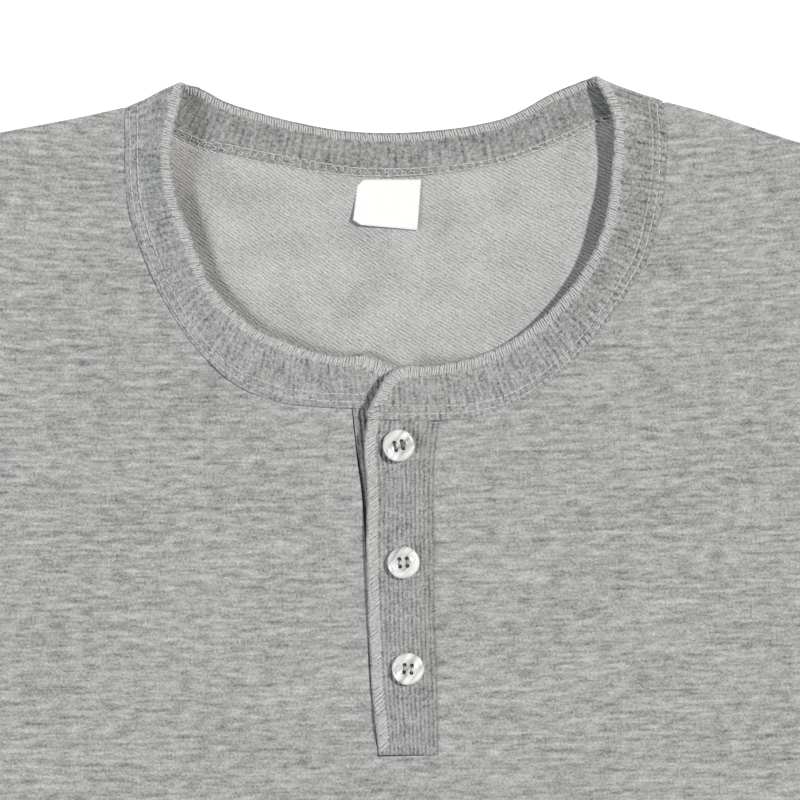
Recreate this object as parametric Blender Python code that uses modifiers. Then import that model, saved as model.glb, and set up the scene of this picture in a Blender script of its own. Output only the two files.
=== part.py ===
"""A long-sleeved henley shirt in grey heather knit, laid flat on its back with its placket buttoned.

The pieces are worked out as a pattern cutter measures them, in millimetres:
    across   from the centre line, positive towards the wearer's left sleeve
    drop     down from the high shoulder points
    height   above the surface that the shirt lies on
The model itself is in metres, +Z up, +Y towards the neck, with its origin on that surface under the
middle of the shirt.
"""

import math
from collections import namedtuple

import bmesh
import bpy
import numpy as np
from mathutils import Matrix, Vector

MM = 0.001

# ---- driving dimensions, mm ------------------------------------------------------------------------
BODY_LENGTH = 735.0      # high shoulder point to hem
UNDERARM_DROP = 260.2    # high shoulder point to underarm, and to the foot of the slit
MIDDLE_DROP = 367.0      # the drop that lies over the origin

CLOTH = 1.2              # wall of every knit piece
SEAM_GAP = 0.3           # between pieces that are sewn together
NECK_GAP = 0.4           # between the band and the panels, whose edges are straight stretches
ARMHOLE_GAP = 0.5        # between a sleeve and the body
WELD = 0.01              # points this close are one point
HALF_CLOTH = CLOTH / 2
BACK_LEVEL = HALF_CLOTH                        # middle of the cloth that lies on the surface
FRONT_LEVEL = BACK_LEVEL + CLOTH + SEAM_GAP    # middle of the cloth that lies on the back

RIB_PITCH = 1.9
RIB_RELIEF = 0.35
RIB_GROUP = 4            # columns of a ribbed face for each column of its plain side
PLAIN_COLUMNS = 12       # half ribs left plain on the inside of the band, beside a shoulder fold
FOLD_COLUMNS = 3         # half ribs from a shoulder fold to the end of the back's neckline

FOLD_ANGLES = (90, 60, 30, 0, -30, -60, -90)   # round a shoulder fold of the band, front to back
FOLD_RADIUS_INNER = 2.4
FOLD_RADIUS_OUTER = 1.0
BAND_FLAT_SHARE = 0.35   # share of the band's width that lies flat beside its seam
PLACKET_FREE_SHARE = 0.4     # share of the placket's width that rises towards its free edge
PLACKET_SEWN_SHARES = (0.8, 0.97)    # where it comes down to its sewn edge
SLEEVE_FOLD_ANGLES = (45.0, 0.0, -45.0)    # round a flattened sleeve's fold
ARMHOLE_BOW_RINGS = 4.0  # rings of a sleeve that still bow like the armhole

BUTTON_RADIUS = 6.2
BUTTON_THICKNESS = 2.4
BUTTON_HOLE_RADIUS = 0.8
BUTTON_HOLE_OFFSET = 1.4
BUTTON_HOLE_STEPS = 10
BUTTON_STEPS = 28
BUTTON_FOOT_SHARE = 0.8  # the radius of its flat underside, as a share of its own

LABEL_THICKNESS = 1.0

# ---- grids -----------------------------------------------------------------------------------------
SLIT_ROWS = 12           # rows of a chest half beside the slit
NECK_ROWS = 20           # rows of a chest half beside the neckline
CHEST_COLUMNS = 8
LOWER_ROWS = 14
SLIT_COLUMNS = 2
SLEEVE_RINGS = 11
PLACKET_ROWS = 12
CURVE_SAMPLES = 40       # along a smooth curve, for each row of its table

# ---- tables, mm ------------------------------------------------------------------------------------
Point = namedtuple("Point", "across drop")
Side = namedtuple("Side", "drop left right")
Section = namedtuple(
    "Section",
    "inner_across inner_drop inner_height outer_across outer_drop outer_height",
)
PlacketRow = namedtuple(
    "PlacketRow",
    "left_across left_drop left_height middle_height right_across right_drop right_height",
)
Fold = namedtuple("Fold", "across drop bearing length width rise")
Button = namedtuple("Button", "name across drop tilt turn")
SleeveRow = namedtuple("SleeveRow", "top_across top_drop under_across under_drop")
Rim = namedtuple("Rim", "radius_share height_share")

SIDES = (
    Side(BODY_LENGTH, 268.0, 268.0),
    Side(640.0, 263.0, 264.0),
    Side(520.0, 260.0, 262.0),
    Side(400.0, 264.0, 265.0),
    Side(310.0, 270.0, 271.0),
    Side(UNDERARM_DROP, 273.0, 274.0),
)
ARMHOLE_LEFT = (
    Point(-273.0, UNDERARM_DROP),
    Point(-251.0, 243.0),
    Point(-235.0, 205.0),
    Point(-230.0, 150.0),
    Point(-234.0, 90.0),
    Point(-241.0, 40.0),
)
ARMHOLE_RIGHT = (
    Point(274.0, UNDERARM_DROP),
    Point(252.0, 244.0),
    Point(236.0, 208.0),
    Point(231.0, 155.0),
    Point(235.0, 98.0),
    Point(243.0, 51.0),
)
SHOULDER_LEFT = (
    Point(-102.0, 8.6),
    Point(-118.9, 12.0),
    Point(-149.8, 17.3),
    Point(-195.0, 27.0),
    Point(-241.0, 40.0),
)
SHOULDER_RIGHT = (
    Point(107.2, 10.9),
    Point(119.8, 14.5),
    Point(158.1, 27.6),
    Point(200.0, 38.5),
    Point(243.0, 51.0),
)
SLIT_LEFT = (
    Point(-10.0, UNDERARM_DROP),
    Point(-11.9, 246.0),
    Point(-13.0, 234.6),
    Point(-14.0, 200.0),
    Point(-14.4, 161.4),
    Point(-15.3, 142.0),
    Point(-16.7, 126.5),
)
SLIT_RIGHT = (
    Point(14.6, UNDERARM_DROP),
    Point(14.8, 246.0),
    Point(14.6, 231.0),
    Point(14.2, 200.0),
    Point(14.3, 177.0),
    Point(14.9, 154.0),
    Point(16.8, 131.9),
)
# The neck band, from the end that lies under to the end that lies over, inner edge then seam edge.
BAND_FRONT_LEFT = (
    Section(8.0, 115.7, 2.4, 8.1, 127.1, 2.4),
    Section(3.8, 112.9, 2.4, 3.9, 127.0, 2.4),
    Section(-0.8, 109.9, 2.5, -0.3, 126.9, 2.4),
    Section(-5.3, 107.5, 2.6, -4.2, 126.6, 2.4),
    Section(-10.7, 105.5, 2.8, -9.2, 126.4, 2.4),
    Section(-18.7, 105.7, 3.0, -18.0, 125.9, 2.4),
    Section(-28.4, 104.2, 3.2, -29.6, 125.3, 2.4),
    Section(-41.7, 99.4, 3.6, -44.9, 122.9, 2.4),
    Section(-52.0, 94.6, 4.0, -60.2, 116.5, 2.4),
    Section(-61.5, 86.5, 4.6, -73.5, 104.5, 2.4),
    Section(-69.8, 76.7, 5.6, -85.0, 88.3, 2.4),
    Section(-76.3, 60.0, 7.1, -94.6, 68.1, 2.4),
    Section(-81.4, 45.3, 8.3, -100.7, 48.0, 2.4),
    Section(-83.6, 31.0, 8.9, -101.8, 31.0, 2.4),
    Section(-82.8, 20.2, 9.0, -101.5, 20.6, 2.5),
    Section(-80.3, 8.9, 7.6, -101.5, 12.6, 2.6),
)
SHOULDER_FOLD_LEFT = Section(-78.3, 0.2, 0.0, -100.9, 9.2, 0.0)
BAND_BACK = (
    Section(-73.2, 1.3, 0.6, -94.6, 11.8, 0.6),
    Section(-72.0, 2.2, 0.6, -88.2, 14.6, 0.6),
    Section(-70.6, 2.7, 0.6, -81.6, 17.6, 0.6),
    Section(-64.1, 6.6, 0.6, -71.3, 23.0, 0.6),
    Section(-51.1, 11.4, 0.6, -56.4, 28.6, 0.6),
    Section(-34.2, 16.1, 0.6, -37.7, 33.4, 0.6),
    Section(-17.0, 19.4, 0.6, -18.5, 36.4, 0.6),
    Section(0.3, 20.5, 0.6, 0.0, 37.5, 0.6),
    Section(17.7, 19.9, 0.6, 19.2, 36.6, 0.6),
    Section(35.0, 17.8, 0.6, 39.3, 33.8, 0.6),
    Section(44.6, 15.6, 0.6, 49.6, 31.3, 0.6),
    Section(50.6, 13.1, 0.6, 56.4, 29.0, 0.6),
    Section(62.2, 6.9, 0.6, 69.6, 24.1, 0.6),
    Section(70.6, 3.2, 0.6, 80.4, 19.2, 0.6),
    Section(72.4, 2.4, 0.6, 89.4, 16.2, 0.6),
    Section(73.9, 1.5, 0.6, 97.3, 13.7, 0.6),
)
SHOULDER_FOLD_RIGHT = Section(78.9, 1.1, 0.0, 105.2, 10.9, 0.0)
BAND_FRONT_RIGHT = (
    Section(83.2, 9.4, 7.0, 105.8, 15.9, 2.6),
    Section(85.9, 17.6, 9.1, 106.4, 23.0, 2.5),
    Section(86.0, 27.2, 8.7, 106.5, 30.9, 2.4),
    Section(84.6, 39.5, 8.4, 105.4, 42.9, 2.4),
    Section(82.8, 52.0, 10.0, 102.6, 57.0, 2.4),
    Section(79.1, 64.0, 9.2, 98.0, 71.2, 2.4),
    Section(72.3, 75.8, 7.8, 89.1, 85.6, 2.4),
    Section(62.9, 87.2, 7.0, 76.2, 102.4, 2.4),
    Section(50.7, 97.4, 4.7, 61.3, 116.4, 2.4),
    Section(39.8, 103.8, 3.4, 47.8, 125.0, 2.4),
    Section(28.5, 107.8, 3.6, 33.1, 129.8, 2.5),
    Section(17.7, 109.7, 5.0, 20.0, 131.4, 3.2),
    Section(8.9, 110.1, 6.0, 9.6, 131.3, 4.3),
    Section(2.3, 110.2, 6.4, 1.9, 131.0, 5.0),
    Section(-2.0, 112.8, 6.6, -2.4, 130.8, 5.6),
    Section(-6.0, 118.4, 6.6, -5.8, 130.7, 5.9),
    Section(-8.8, 124.0, 6.4, -8.9, 130.6, 6.0),
    Section(-10.3, 127.8, 6.2, -10.5, 130.5, 6.0),
)
PLACKET_TOP = (
    PlacketRow(-10.9, 131.2, 6.0, 4.6, 16.4, 131.9, 2.4),
    PlacketRow(-12.0, 137.0, 6.0, 4.2, 15.3, 138.0, 2.1),
    PlacketRow(-12.3, 145.3, 5.8, 4.0, 14.4, 146.0, 2.1),
    PlacketRow(-11.6, 154.0, 5.5, 4.0, 14.2, 154.0, 2.1),
    PlacketRow(-12.2, 177.0, 5.1, 4.0, 13.9, 177.0, 2.1),
    PlacketRow(-12.3, 200.0, 4.6, 4.0, 13.8, 200.0, 2.1),
    PlacketRow(-12.0, 215.4, 4.3, 4.0, 13.9, 215.9, 2.1),
    PlacketRow(-11.5, 234.7, 4.1, 4.1, 14.3, 231.3, 2.1),
    PlacketRow(-10.4, 248.5, 4.0, 4.1, 14.4, 247.0, 2.1),
    PlacketRow(-9.3, 259.4, 2.1, 2.1, 14.2, 259.8, 2.1),
)
PLACKET_UNDER = (
    PlacketRow(-16.3, 127.2, 2.1, 2.1, 8.3, 127.6, 2.1),
    PlacketRow(-14.9, 142.0, 2.1, 2.1, 8.3, 142.0, 2.1),
    PlacketRow(-14.0, 161.4, 2.1, 2.1, 8.3, 161.4, 2.1),
    PlacketRow(-13.6, 200.0, 2.1, 2.1, 8.3, 200.0, 2.1),
    PlacketRow(-12.6, 234.6, 2.1, 2.1, 8.3, 234.6, 2.1),
    PlacketRow(-11.8, 243.0, 2.1, 2.1, 8.3, 243.0, 2.1),
)
LABEL_CORNERS = (
    Point(-12.4, 38.2),
    Point(-14.6, 53.7),
    Point(-11.6, 55.7),
    Point(10.0, 58.1),
    Point(11.9, 38.6),
)
BUTTONS = (
    Button("button_1", 1.0, 140.8, 7.0, 12.0),
    Button("button_2", 2.0, 185.7, 0.0, 4.0),
    Button("button_3", 2.9, 226.6, 0.0, -6.0),
)
# A button's outline from the middle of its dished top, round its rim, to the middle of its underside.
BUTTON_PROFILE = (
    Rim(0.0, 0.58),
    Rim(0.50, 0.60),
    Rim(0.58, 0.86),
    Rim(0.72, 1.0),
    Rim(0.88, 0.95),
    Rim(1.0, 0.62),
    Rim(0.97, 0.36),
    Rim(BUTTON_FOOT_SHARE, 0.0),
    Rim(0.0, 0.0),
)
# Soft ridges where the cloth has slack. A bearing of 0 runs across the shirt, 90 runs down it.
FRONT_FOLDS = (
    Fold(-196.0, 300.0, 38.0, 70.0, 16.0, 4.5),
    Fold(-170.0, 345.0, 52.0, 80.0, 20.0, 3.5),
    Fold(198.0, 306.0, -36.0, 66.0, 17.0, 4.0),
    Fold(166.0, 352.0, -50.0, 84.0, 19.0, 3.8),
    Fold(-70.0, 560.0, 82.0, 110.0, 26.0, 3.5),
    Fold(96.0, 500.0, 98.0, 120.0, 30.0, 3.0),
    Fold(150.0, 640.0, 86.0, 60.0, 22.0, 3.2),
    Fold(-178.0, 640.0, 94.0, 64.0, 24.0, 3.0),
)
# Where each sleeve's top fold and underarm fold lie, from just past the armhole to the cuff.
SLEEVE_LEFT = (
    SleeveRow(-241.6, 40.2, -273.4, 259.8),
    SleeveRow(-304.0, 75.0, -297.0, 279.0),
    SleeveRow(-395.4, 152.1, -360.0, 329.0),
    SleeveRow(-489.7, 242.1, -447.5, 396.0),
    SleeveRow(-581.7, 333.6, -535.0, 462.0),
    SleeveRow(-667.2, 418.0, -606.0, 517.0),
    SleeveRow(-720.0, 472.0, -650.0, 550.0),
)
SLEEVE_RIGHT = (
    SleeveRow(243.6, 51.2, 274.4, 259.8),
    SleeveRow(306.0, 84.0, 299.0, 279.0),
    SleeveRow(397.0, 158.0, 362.0, 330.0),
    SleeveRow(491.0, 247.0, 449.0, 397.0),
    SleeveRow(583.0, 338.0, 537.0, 464.0),
    SleeveRow(668.0, 422.0, 608.0, 520.0),
    SleeveRow(721.0, 476.0, 652.0, 554.0),
)
SLEEVE_FOLDS_LEFT = (
    Fold(-322.0, 232.0, 26.0, 42.0, 14.0, 4.0),
    Fold(-404.0, 262.0, 44.0, 46.0, 13.0, 3.5),
    Fold(-478.0, 336.0, 58.0, 40.0, 12.0, 4.0),
    Fold(-566.0, 414.0, 38.0, 30.0, 11.0, 3.0),
)
SLEEVE_FOLDS_RIGHT = (
    Fold(326.0, 228.0, -28.0, 40.0, 14.0, 3.8),
    Fold(398.0, 254.0, -50.0, 48.0, 14.0, 3.6),
    Fold(486.0, 346.0, -40.0, 38.0, 12.0, 4.2),
    Fold(574.0, 426.0, -56.0, 28.0, 11.0, 2.8),
)

Finish = namedtuple("Finish", "colour roughness")
JERSEY = Finish((0.37, 0.37, 0.36), 0.9)
RIB = Finish((0.34, 0.34, 0.34), 0.9)
WOVEN_LABEL = Finish((0.94, 0.94, 0.92), 0.6)
PEARL = Finish((0.82, 0.82, 0.79), 0.25)


# ---- the scene -------------------------------------------------------------------------------------
def clear_scene():
    """Removes every object of the file that the script starts in."""
    for thing in list(bpy.data.objects):
        bpy.data.objects.remove(thing, do_unlink=True)


def new_collection(name):
    """Returns a new collection, linked to the scene."""
    collection = bpy.data.collections.new(name)
    bpy.context.scene.collection.children.link(collection)
    return collection


def material_of(name, finish):
    """Returns the material of that name, made from a finish the first time."""
    material = bpy.data.materials.get(name)
    if material:
        return material
    material = bpy.data.materials.new(name)
    material.use_nodes = True
    shader = material.node_tree.nodes["Principled BSDF"]
    shader.inputs["Base Color"].default_value = (*finish.colour, 1.0)
    shader.inputs["Roughness"].default_value = finish.roughness
    shader.inputs["Metallic"].default_value = 0.0
    material.diffuse_color = (*finish.colour, 1.0)
    return material


def add_object(name, mesh, collection, finish_name, finish):
    """Links an object for a mesh and gives it its finish."""
    mesh.materials.append(material_of(finish_name, finish))
    made = bpy.data.objects.new(name, mesh)
    collection.objects.link(made)
    return made


# ---- places and curves -----------------------------------------------------------------------------
def world(across, drop, height):
    """A place on the garment, in metres."""
    return np.stack(
        np.broadcast_arrays(across * MM, (MIDDLE_DROP - drop) * MM, height * MM), axis=-1
    )


def smooth_curve(rows, along):
    """Reads every column of the rows as one smooth curve, at shares of the way along it."""
    table = np.array(rows, float)
    stops = np.concatenate([[0.0], np.cumsum(np.linalg.norm(np.diff(table, axis=0), axis=1))])
    stops /= stops[-1]
    slopes = np.gradient(table, stops, axis=0)
    first = np.clip(np.searchsorted(stops, along, side="right") - 1, 0, len(stops) - 2)
    span = (stops[first + 1] - stops[first])[:, None]
    t = ((along - stops[first])[:, None]) / span
    return (
        table[first] * (1 + 2 * t) * (1 - t) ** 2
        + slopes[first] * span * t * (1 - t) ** 2
        + table[first + 1] * t**2 * (3 - 2 * t)
        + slopes[first + 1] * span * t**2 * (t - 1)
    )


def evenly(rows, count):
    """count + 1 evenly spaced points on the smooth curve through the rows."""
    dense = smooth_curve(rows, np.linspace(0.0, 1.0, CURVE_SAMPLES * len(rows)))
    walked = np.concatenate([[0.0], np.cumsum(np.linalg.norm(np.diff(dense, axis=0), axis=1))])
    at = np.linspace(0.0, walked[-1], count + 1)
    return np.stack([np.interp(at, walked, column) for column in dense.T], axis=1)


def moved_out(line, distance):
    """A flat line of points moved sideways, to the left of its direction, by a distance."""
    run = np.gradient(line, axis=0)
    run /= np.linalg.norm(run, axis=1)[:, None]
    return line + distance * np.stack([-run[:, 1], run[:, 0]], axis=1)


def patch(bottom, top, left, right):
    """A grid of points between four edges that share their corners (a Coons patch)."""
    across = np.linspace(0.0, 1.0, len(bottom))[None, :, None]
    up = np.linspace(0.0, 1.0, len(left))[:, None, None]
    between_sides = (1 - across) * left[:, None] + across * right[:, None]
    between_ends = (1 - up) * bottom[None] + up * top[None]
    corners = (1 - up) * ((1 - across) * bottom[0] + across * bottom[-1]) + up * (
        (1 - across) * top[0] + across * top[-1]
    )
    return between_sides + between_ends - corners


def ease(value, start, end):
    """0 before start, 1 after end, and a soft step between them."""
    share = np.clip((value - start) / (end - start), 0.0, 1.0)
    return share * share * (3 - 2 * share)


def fold_rise(folds, across, drop):
    """How far a set of soft ridges lifts the cloth at each place."""
    rise = np.zeros(np.shape(across))
    for fold in folds:
        bearing = math.radians(fold.bearing)
        east, south = across - fold.across, drop - fold.drop
        along = east * math.cos(bearing) + south * math.sin(bearing)
        aside = south * math.cos(bearing) - east * math.sin(bearing)
        rise = rise + fold.rise * np.exp(-((along / fold.length) ** 2) - (aside / fold.width) ** 2)
    return rise


# ---- walls -----------------------------------------------------------------------------------------
def finished_mesh(shape, name):
    """The mesh of a bmesh, its faces turned outwards, or upwards if it is an open sheet."""
    bmesh.ops.recalc_face_normals(shape, faces=shape.faces)
    if any(edge.is_boundary for edge in shape.edges):
        if sum(face.normal.z for face in shape.faces) < 0:
            bmesh.ops.reverse_faces(shape, faces=shape.faces)
    mesh = bpy.data.meshes.new(name)
    shape.to_mesh(mesh)
    shape.free()
    return mesh


def thicken(made, thickness):
    """Makes an open sheet a wall of that thickness, half of it to either side of the sheet."""
    wall = made.modifiers.new("cloth", "SOLIDIFY")
    wall.thickness = thickness * MM
    wall.offset = 0.0
    wall.use_even_offset = True


def surface_normals(grid):
    """The unit normal of a grid of points at each of them."""
    normals = np.cross(np.gradient(grid, axis=0), np.gradient(grid, axis=1))
    return normals / np.linalg.norm(normals, axis=2)[..., None]


def ribbed_object(name, grid, over, under, collection, finish_name, finish):
    """A ribbed wall round a grid of middle points, whose first index counts half ribs.

    Every second column is raised on the side over, the side under, or both, by that share of the rib
    relief. A stretch of a side that isn't raised has one column where the other has RIB_GROUP.
    """
    normals = surface_normals(grid)
    last = len(grid) - 1
    raised = (np.arange(last + 1) % 2) * RIB_RELIEF
    shape = bmesh.new()

    def side_columns(direction, share):
        """The columns that a side keeps, in order, each as its points."""
        kept = {}
        for start in range(0, last, RIB_GROUP):
            end = min(start + RIB_GROUP, last)
            fine = share[start : end + 1].max() > 0
            for column in range(start, end + 1) if fine else (start, end):
                if column not in kept:
                    lift = (HALF_CLOTH + raised[column] * share[column]) * MM * direction
                    points = grid[column] + normals[column] * lift
                    kept[column] = [shape.verts.new(point) for point in points]
        return kept

    sides = (side_columns(1, over), side_columns(-1, under))
    for kept in sides:
        order = sorted(kept)
        for here, there in zip(order, order[1:]):
            for k in range(grid.shape[1] - 1):
                corners = (kept[here][k], kept[there][k], kept[there][k + 1], kept[here][k + 1])
                shape.faces.new(corners)
    for start in range(0, last, RIB_GROUP):
        end = min(start + RIB_GROUP, last)
        for k in (0, -1):
            there, back = (
                [kept[column][k] for column in sorted(kept) if start <= column <= end]
                for kept in sides
            )
            shape.faces.new(there + back[::-1])
    for column in (0, last):
        for k in range(grid.shape[1] - 1):
            top, bottom = (kept[column] for kept in sides)
            shape.faces.new((top[k], top[k + 1], bottom[k + 1], bottom[k]))
    return add_object(name, finished_mesh(shape, name), collection, finish_name, finish)


# ---- the neck band ---------------------------------------------------------------------------------
def shoulder_fold(before, ridge, after):
    """The band's sections round one shoulder fold, from the section before it to the one after it."""
    rows = []
    for angle in FOLD_ANGLES:
        turn = math.radians(angle)
        row = []
        for start, radius in ((0, FOLD_RADIUS_INNER), (3, FOLD_RADIUS_OUTER)):
            towards = Vector((before if angle > 0 else after)[start : start + 2])
            here = Vector(ridge[start : start + 2])
            place = here + (towards - here).normalized() * radius * (1 - math.cos(turn))
            row += [*place, BACK_LEVEL + radius * (1 + math.sin(turn))]
        rows.append(Section(*row))
    return rows


def band_sections():
    """All sections of the neck band, and how many belong to the front's left half and to the back."""
    left_fold = shoulder_fold(BAND_FRONT_LEFT[-1], SHOULDER_FOLD_LEFT, BAND_BACK[0])
    right_fold = shoulder_fold(BAND_FRONT_RIGHT[0], SHOULDER_FOLD_RIGHT, BAND_BACK[-1])[::-1]
    rows = [*BAND_FRONT_LEFT, *left_fold, *BAND_BACK, *right_fold, *BAND_FRONT_RIGHT]
    middle = len(FOLD_ANGLES) // 2
    return rows, len(BAND_FRONT_LEFT) + middle, len(rows) - len(BAND_FRONT_RIGHT) - middle - 1


def band_grid():
    """The band's middle points, a column for each half rib, and where its back stretch starts and ends."""
    rows, left_ridge, right_ridge = band_sections()
    dense = smooth_curve(rows, np.linspace(0.0, 1.0, CURVE_SAMPLES * len(rows)))
    dense[:, [2, 5]] = np.maximum(dense[:, [2, 5]], BACK_LEVEL)
    centre = (dense[:, :3] + dense[:, 3:]) / 2
    length = np.linalg.norm(np.diff(centre, axis=0), axis=1).sum()
    count = RIB_GROUP * round(2 * length / RIB_PITCH / RIB_GROUP)
    walked = np.concatenate([[0.0], np.cumsum(np.linalg.norm(np.diff(centre, axis=0), axis=1))])
    at = np.linspace(0.0, walked[-1], count + 1)
    columns = np.stack([np.interp(at, walked, column) for column in dense.T], axis=1)
    inner, outer = columns[:, :3], columns[:, 3:]
    bend = outer + (inner - outer) * BAND_FLAT_SHARE
    bend[:, 2] = outer[:, 2]
    points = np.stack([inner, bend, outer], axis=1)
    ridges = [
        int(np.argmin(np.linalg.norm(columns - np.array(rows[k]), axis=1)))
        for k in (left_ridge, right_ridge)
    ]
    return points, ridges


def build_band(collection):
    """The ribbed neck band, raised on the side of it that faces up."""
    points, (left_ridge, right_ridge) = band_grid()
    number = np.arange(len(points))
    front = (number <= left_ridge) | (number >= right_ridge)
    back = (number >= left_ridge + PLAIN_COLUMNS) & (number <= right_ridge - PLAIN_COLUMNS)
    grid = world(points[..., 0], points[..., 1], points[..., 2])
    ribbed_object("neck_band", grid, 1.0 * front, 1.0 * back, collection, "rib", RIB)
    return points, left_ridge, right_ridge


# ---- body ------------------------------------------------------------------------------------------
def neck_edge(points, first, last, count, outwards):
    """The panels' edge along a stretch of the band's seam edge, NECK_GAP beyond it.

    outwards is 1 where the stretch is on the back and -1 where it is on the front.
    """
    line = points[first : last + 1, 2, :2]
    walked = np.concatenate([[0.0], np.cumsum(np.linalg.norm(np.diff(line, axis=0), axis=1))])
    at = np.linspace(0.0, walked[-1], count + 1)
    even = np.stack([np.interp(at, walked, line[:, k]) for k in (0, 1)], axis=1)
    return moved_out(even, outwards * NECK_GAP)


def nearest_column(points, across, drop, start, end):
    """The band column, from start to end, whose seam edge passes closest to a place."""
    line = points[start:end, 2, :2]
    return start + int(np.argmin(np.linalg.norm(line - (across, drop), axis=1)))


def chest_grid(armhole, shoulder, slit, neckline):
    """Points of one half of the chest: rows from the underarm to the shoulder, columns outside in."""
    rows = SLIT_ROWS + NECK_ROWS
    outside = evenly(armhole, rows)
    inside = np.concatenate([evenly(slit, SLIT_ROWS), neckline[1:]])
    shares = np.linspace(0.0, 1.0, CHEST_COLUMNS + 1)[:, None]
    bottom = outside[0] + (inside[0] - outside[0]) * shares
    top = evenly([*shoulder[::-1]], CHEST_COLUMNS)
    top = np.concatenate([top[:-1], inside[-1:]])
    return patch(bottom, top, outside, inside)


def lower_grid(left_chest, right_chest):
    """Points of the front below the slit, whose top row is the chest halves' first rows."""
    slit = left_chest[0][-1] + (right_chest[0][0] - left_chest[0][-1]) * (
        np.linspace(0.0, 1.0, SLIT_COLUMNS + 1)[1:-1, None]
    )
    top = np.concatenate([left_chest[0], slit, right_chest[0]])
    shares = (top[:, 0] - top[0, 0]) / (top[-1, 0] - top[0, 0])
    rows = []
    for drop, left, right in evenly(SIDES, LOWER_ROWS)[::-1]:
        across = -left + shares * (left + right)
        rows.append(np.stack([across, np.full(len(across), drop)], axis=1))
    rows[0] = top
    return np.array(rows)


def laid(grid, folds, level):
    """A flat grid laid at a level, lifted by its folds."""
    across, drop = grid[..., 0], grid[..., 1]
    return world(across, drop, level + fold_rise(folds, across, drop))


def build_front(points, left_ridge, right_ridge, collection):
    """The front panel, slit for the placket, lying on the back."""
    last = len(points) - 1
    left_corner = nearest_column(points, *SLIT_LEFT[-1], 0, left_ridge)
    right_corner = nearest_column(points, *SLIT_RIGHT[-1], right_ridge, last)
    left_neck = neck_edge(points, left_corner, left_ridge - 1, NECK_ROWS, -1)
    right_neck = neck_edge(points, right_ridge + 1, right_corner, NECK_ROWS, -1)[::-1]
    left_neck[0] = SLIT_LEFT[-1]
    right_neck[0] = SLIT_RIGHT[-1]
    left_neck[-1] = SHOULDER_LEFT[0]
    right_neck[-1] = SHOULDER_RIGHT[0]
    left_chest = chest_grid(ARMHOLE_LEFT, SHOULDER_LEFT, SLIT_LEFT, left_neck)
    right_chest = chest_grid(ARMHOLE_RIGHT, SHOULDER_RIGHT, SLIT_RIGHT, right_neck)[:, ::-1]
    lower = lower_grid(left_chest, right_chest)
    shape = bmesh.new()
    for grid in (left_chest, right_chest, lower):
        places = laid(grid, FRONT_FOLDS, FRONT_LEVEL)
        corners = [[shape.verts.new(point) for point in row] for row in places]
        for here, there in zip(corners, corners[1:]):
            for k in range(len(here) - 1):
                shape.faces.new((here[k], here[k + 1], there[k + 1], there[k]))
    bmesh.ops.remove_doubles(shape, verts=shape.verts, dist=WELD * MM)
    thicken(add_object("front", finished_mesh(shape, "front"), collection, "jersey", JERSEY), CLOTH)


def build_back(points, left_ridge, right_ridge, collection):
    """The back panel, a flat outline under the front, with its neck edge along the band's back."""
    neckline = neck_edge(points, left_ridge + FOLD_COLUMNS, right_ridge - FOLD_COLUMNS, NECK_ROWS, 1)
    neckline = np.array([SHOULDER_RIGHT[0], *neckline[::-1], SHOULDER_LEFT[0]])
    rows = SLIT_ROWS + NECK_ROWS
    sides = evenly(SIDES, LOWER_ROWS)
    left_side = np.stack([-sides[:, 1], sides[:, 0]], axis=1)
    right_side = np.stack([sides[:, 2], sides[:, 0]], axis=1)
    loop = np.concatenate(
        [
            right_side[:-1],
            evenly(ARMHOLE_RIGHT, rows)[:-1],
            evenly(SHOULDER_RIGHT[::-1], CHEST_COLUMNS)[:-1],
            neckline[:-1],
            evenly(SHOULDER_LEFT, CHEST_COLUMNS)[:-1],
            evenly(ARMHOLE_LEFT, rows)[::-1][:-1],
            left_side[::-1],
        ]
    )
    shape = bmesh.new()
    corners = [shape.verts.new(point) for point in world(loop[:, 0], loop[:, 1], BACK_LEVEL)]
    shape.faces.new(corners).normal_update()
    bmesh.ops.triangulate(shape, faces=shape.faces)
    thicken(add_object("back", finished_mesh(shape, "back"), collection, "jersey", JERSEY), CLOTH)


# ---- sleeves ---------------------------------------------------------------------------------------
def sleeve_ring(flat, heights, inside):
    """One closed ring round a flattened sleeve, over its upper layer and back under its lower one.

    flat holds the places across the sleeve from its top fold to its underarm fold, heights the middle
    of its upper layer there; inside is -1 for the ring inside the cloth and 1 for the one outside.
    """
    run = (flat[-1] - flat[0]) / np.linalg.norm(flat[-1] - flat[0])
    centre = (FRONT_LEVEL + BACK_LEVEL) / 2
    radius = (FRONT_LEVEL - BACK_LEVEL) / 2 + inside * HALF_CLOTH
    upper = np.column_stack([flat, heights + inside * HALF_CLOTH])
    lower = np.column_stack([flat, np.full(len(flat), BACK_LEVEL - inside * HALF_CLOTH)])
    turns = np.radians(SLEEVE_FOLD_ANGLES)
    underarm = [[*(flat[-1] + run * radius * math.cos(t)), centre + radius * math.sin(t)] for t in turns]
    top = [[*(flat[0] - run * radius * math.cos(t)), centre - radius * math.sin(t)] for t in turns]
    return np.concatenate([upper, underarm, lower[::-1], top])


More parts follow.
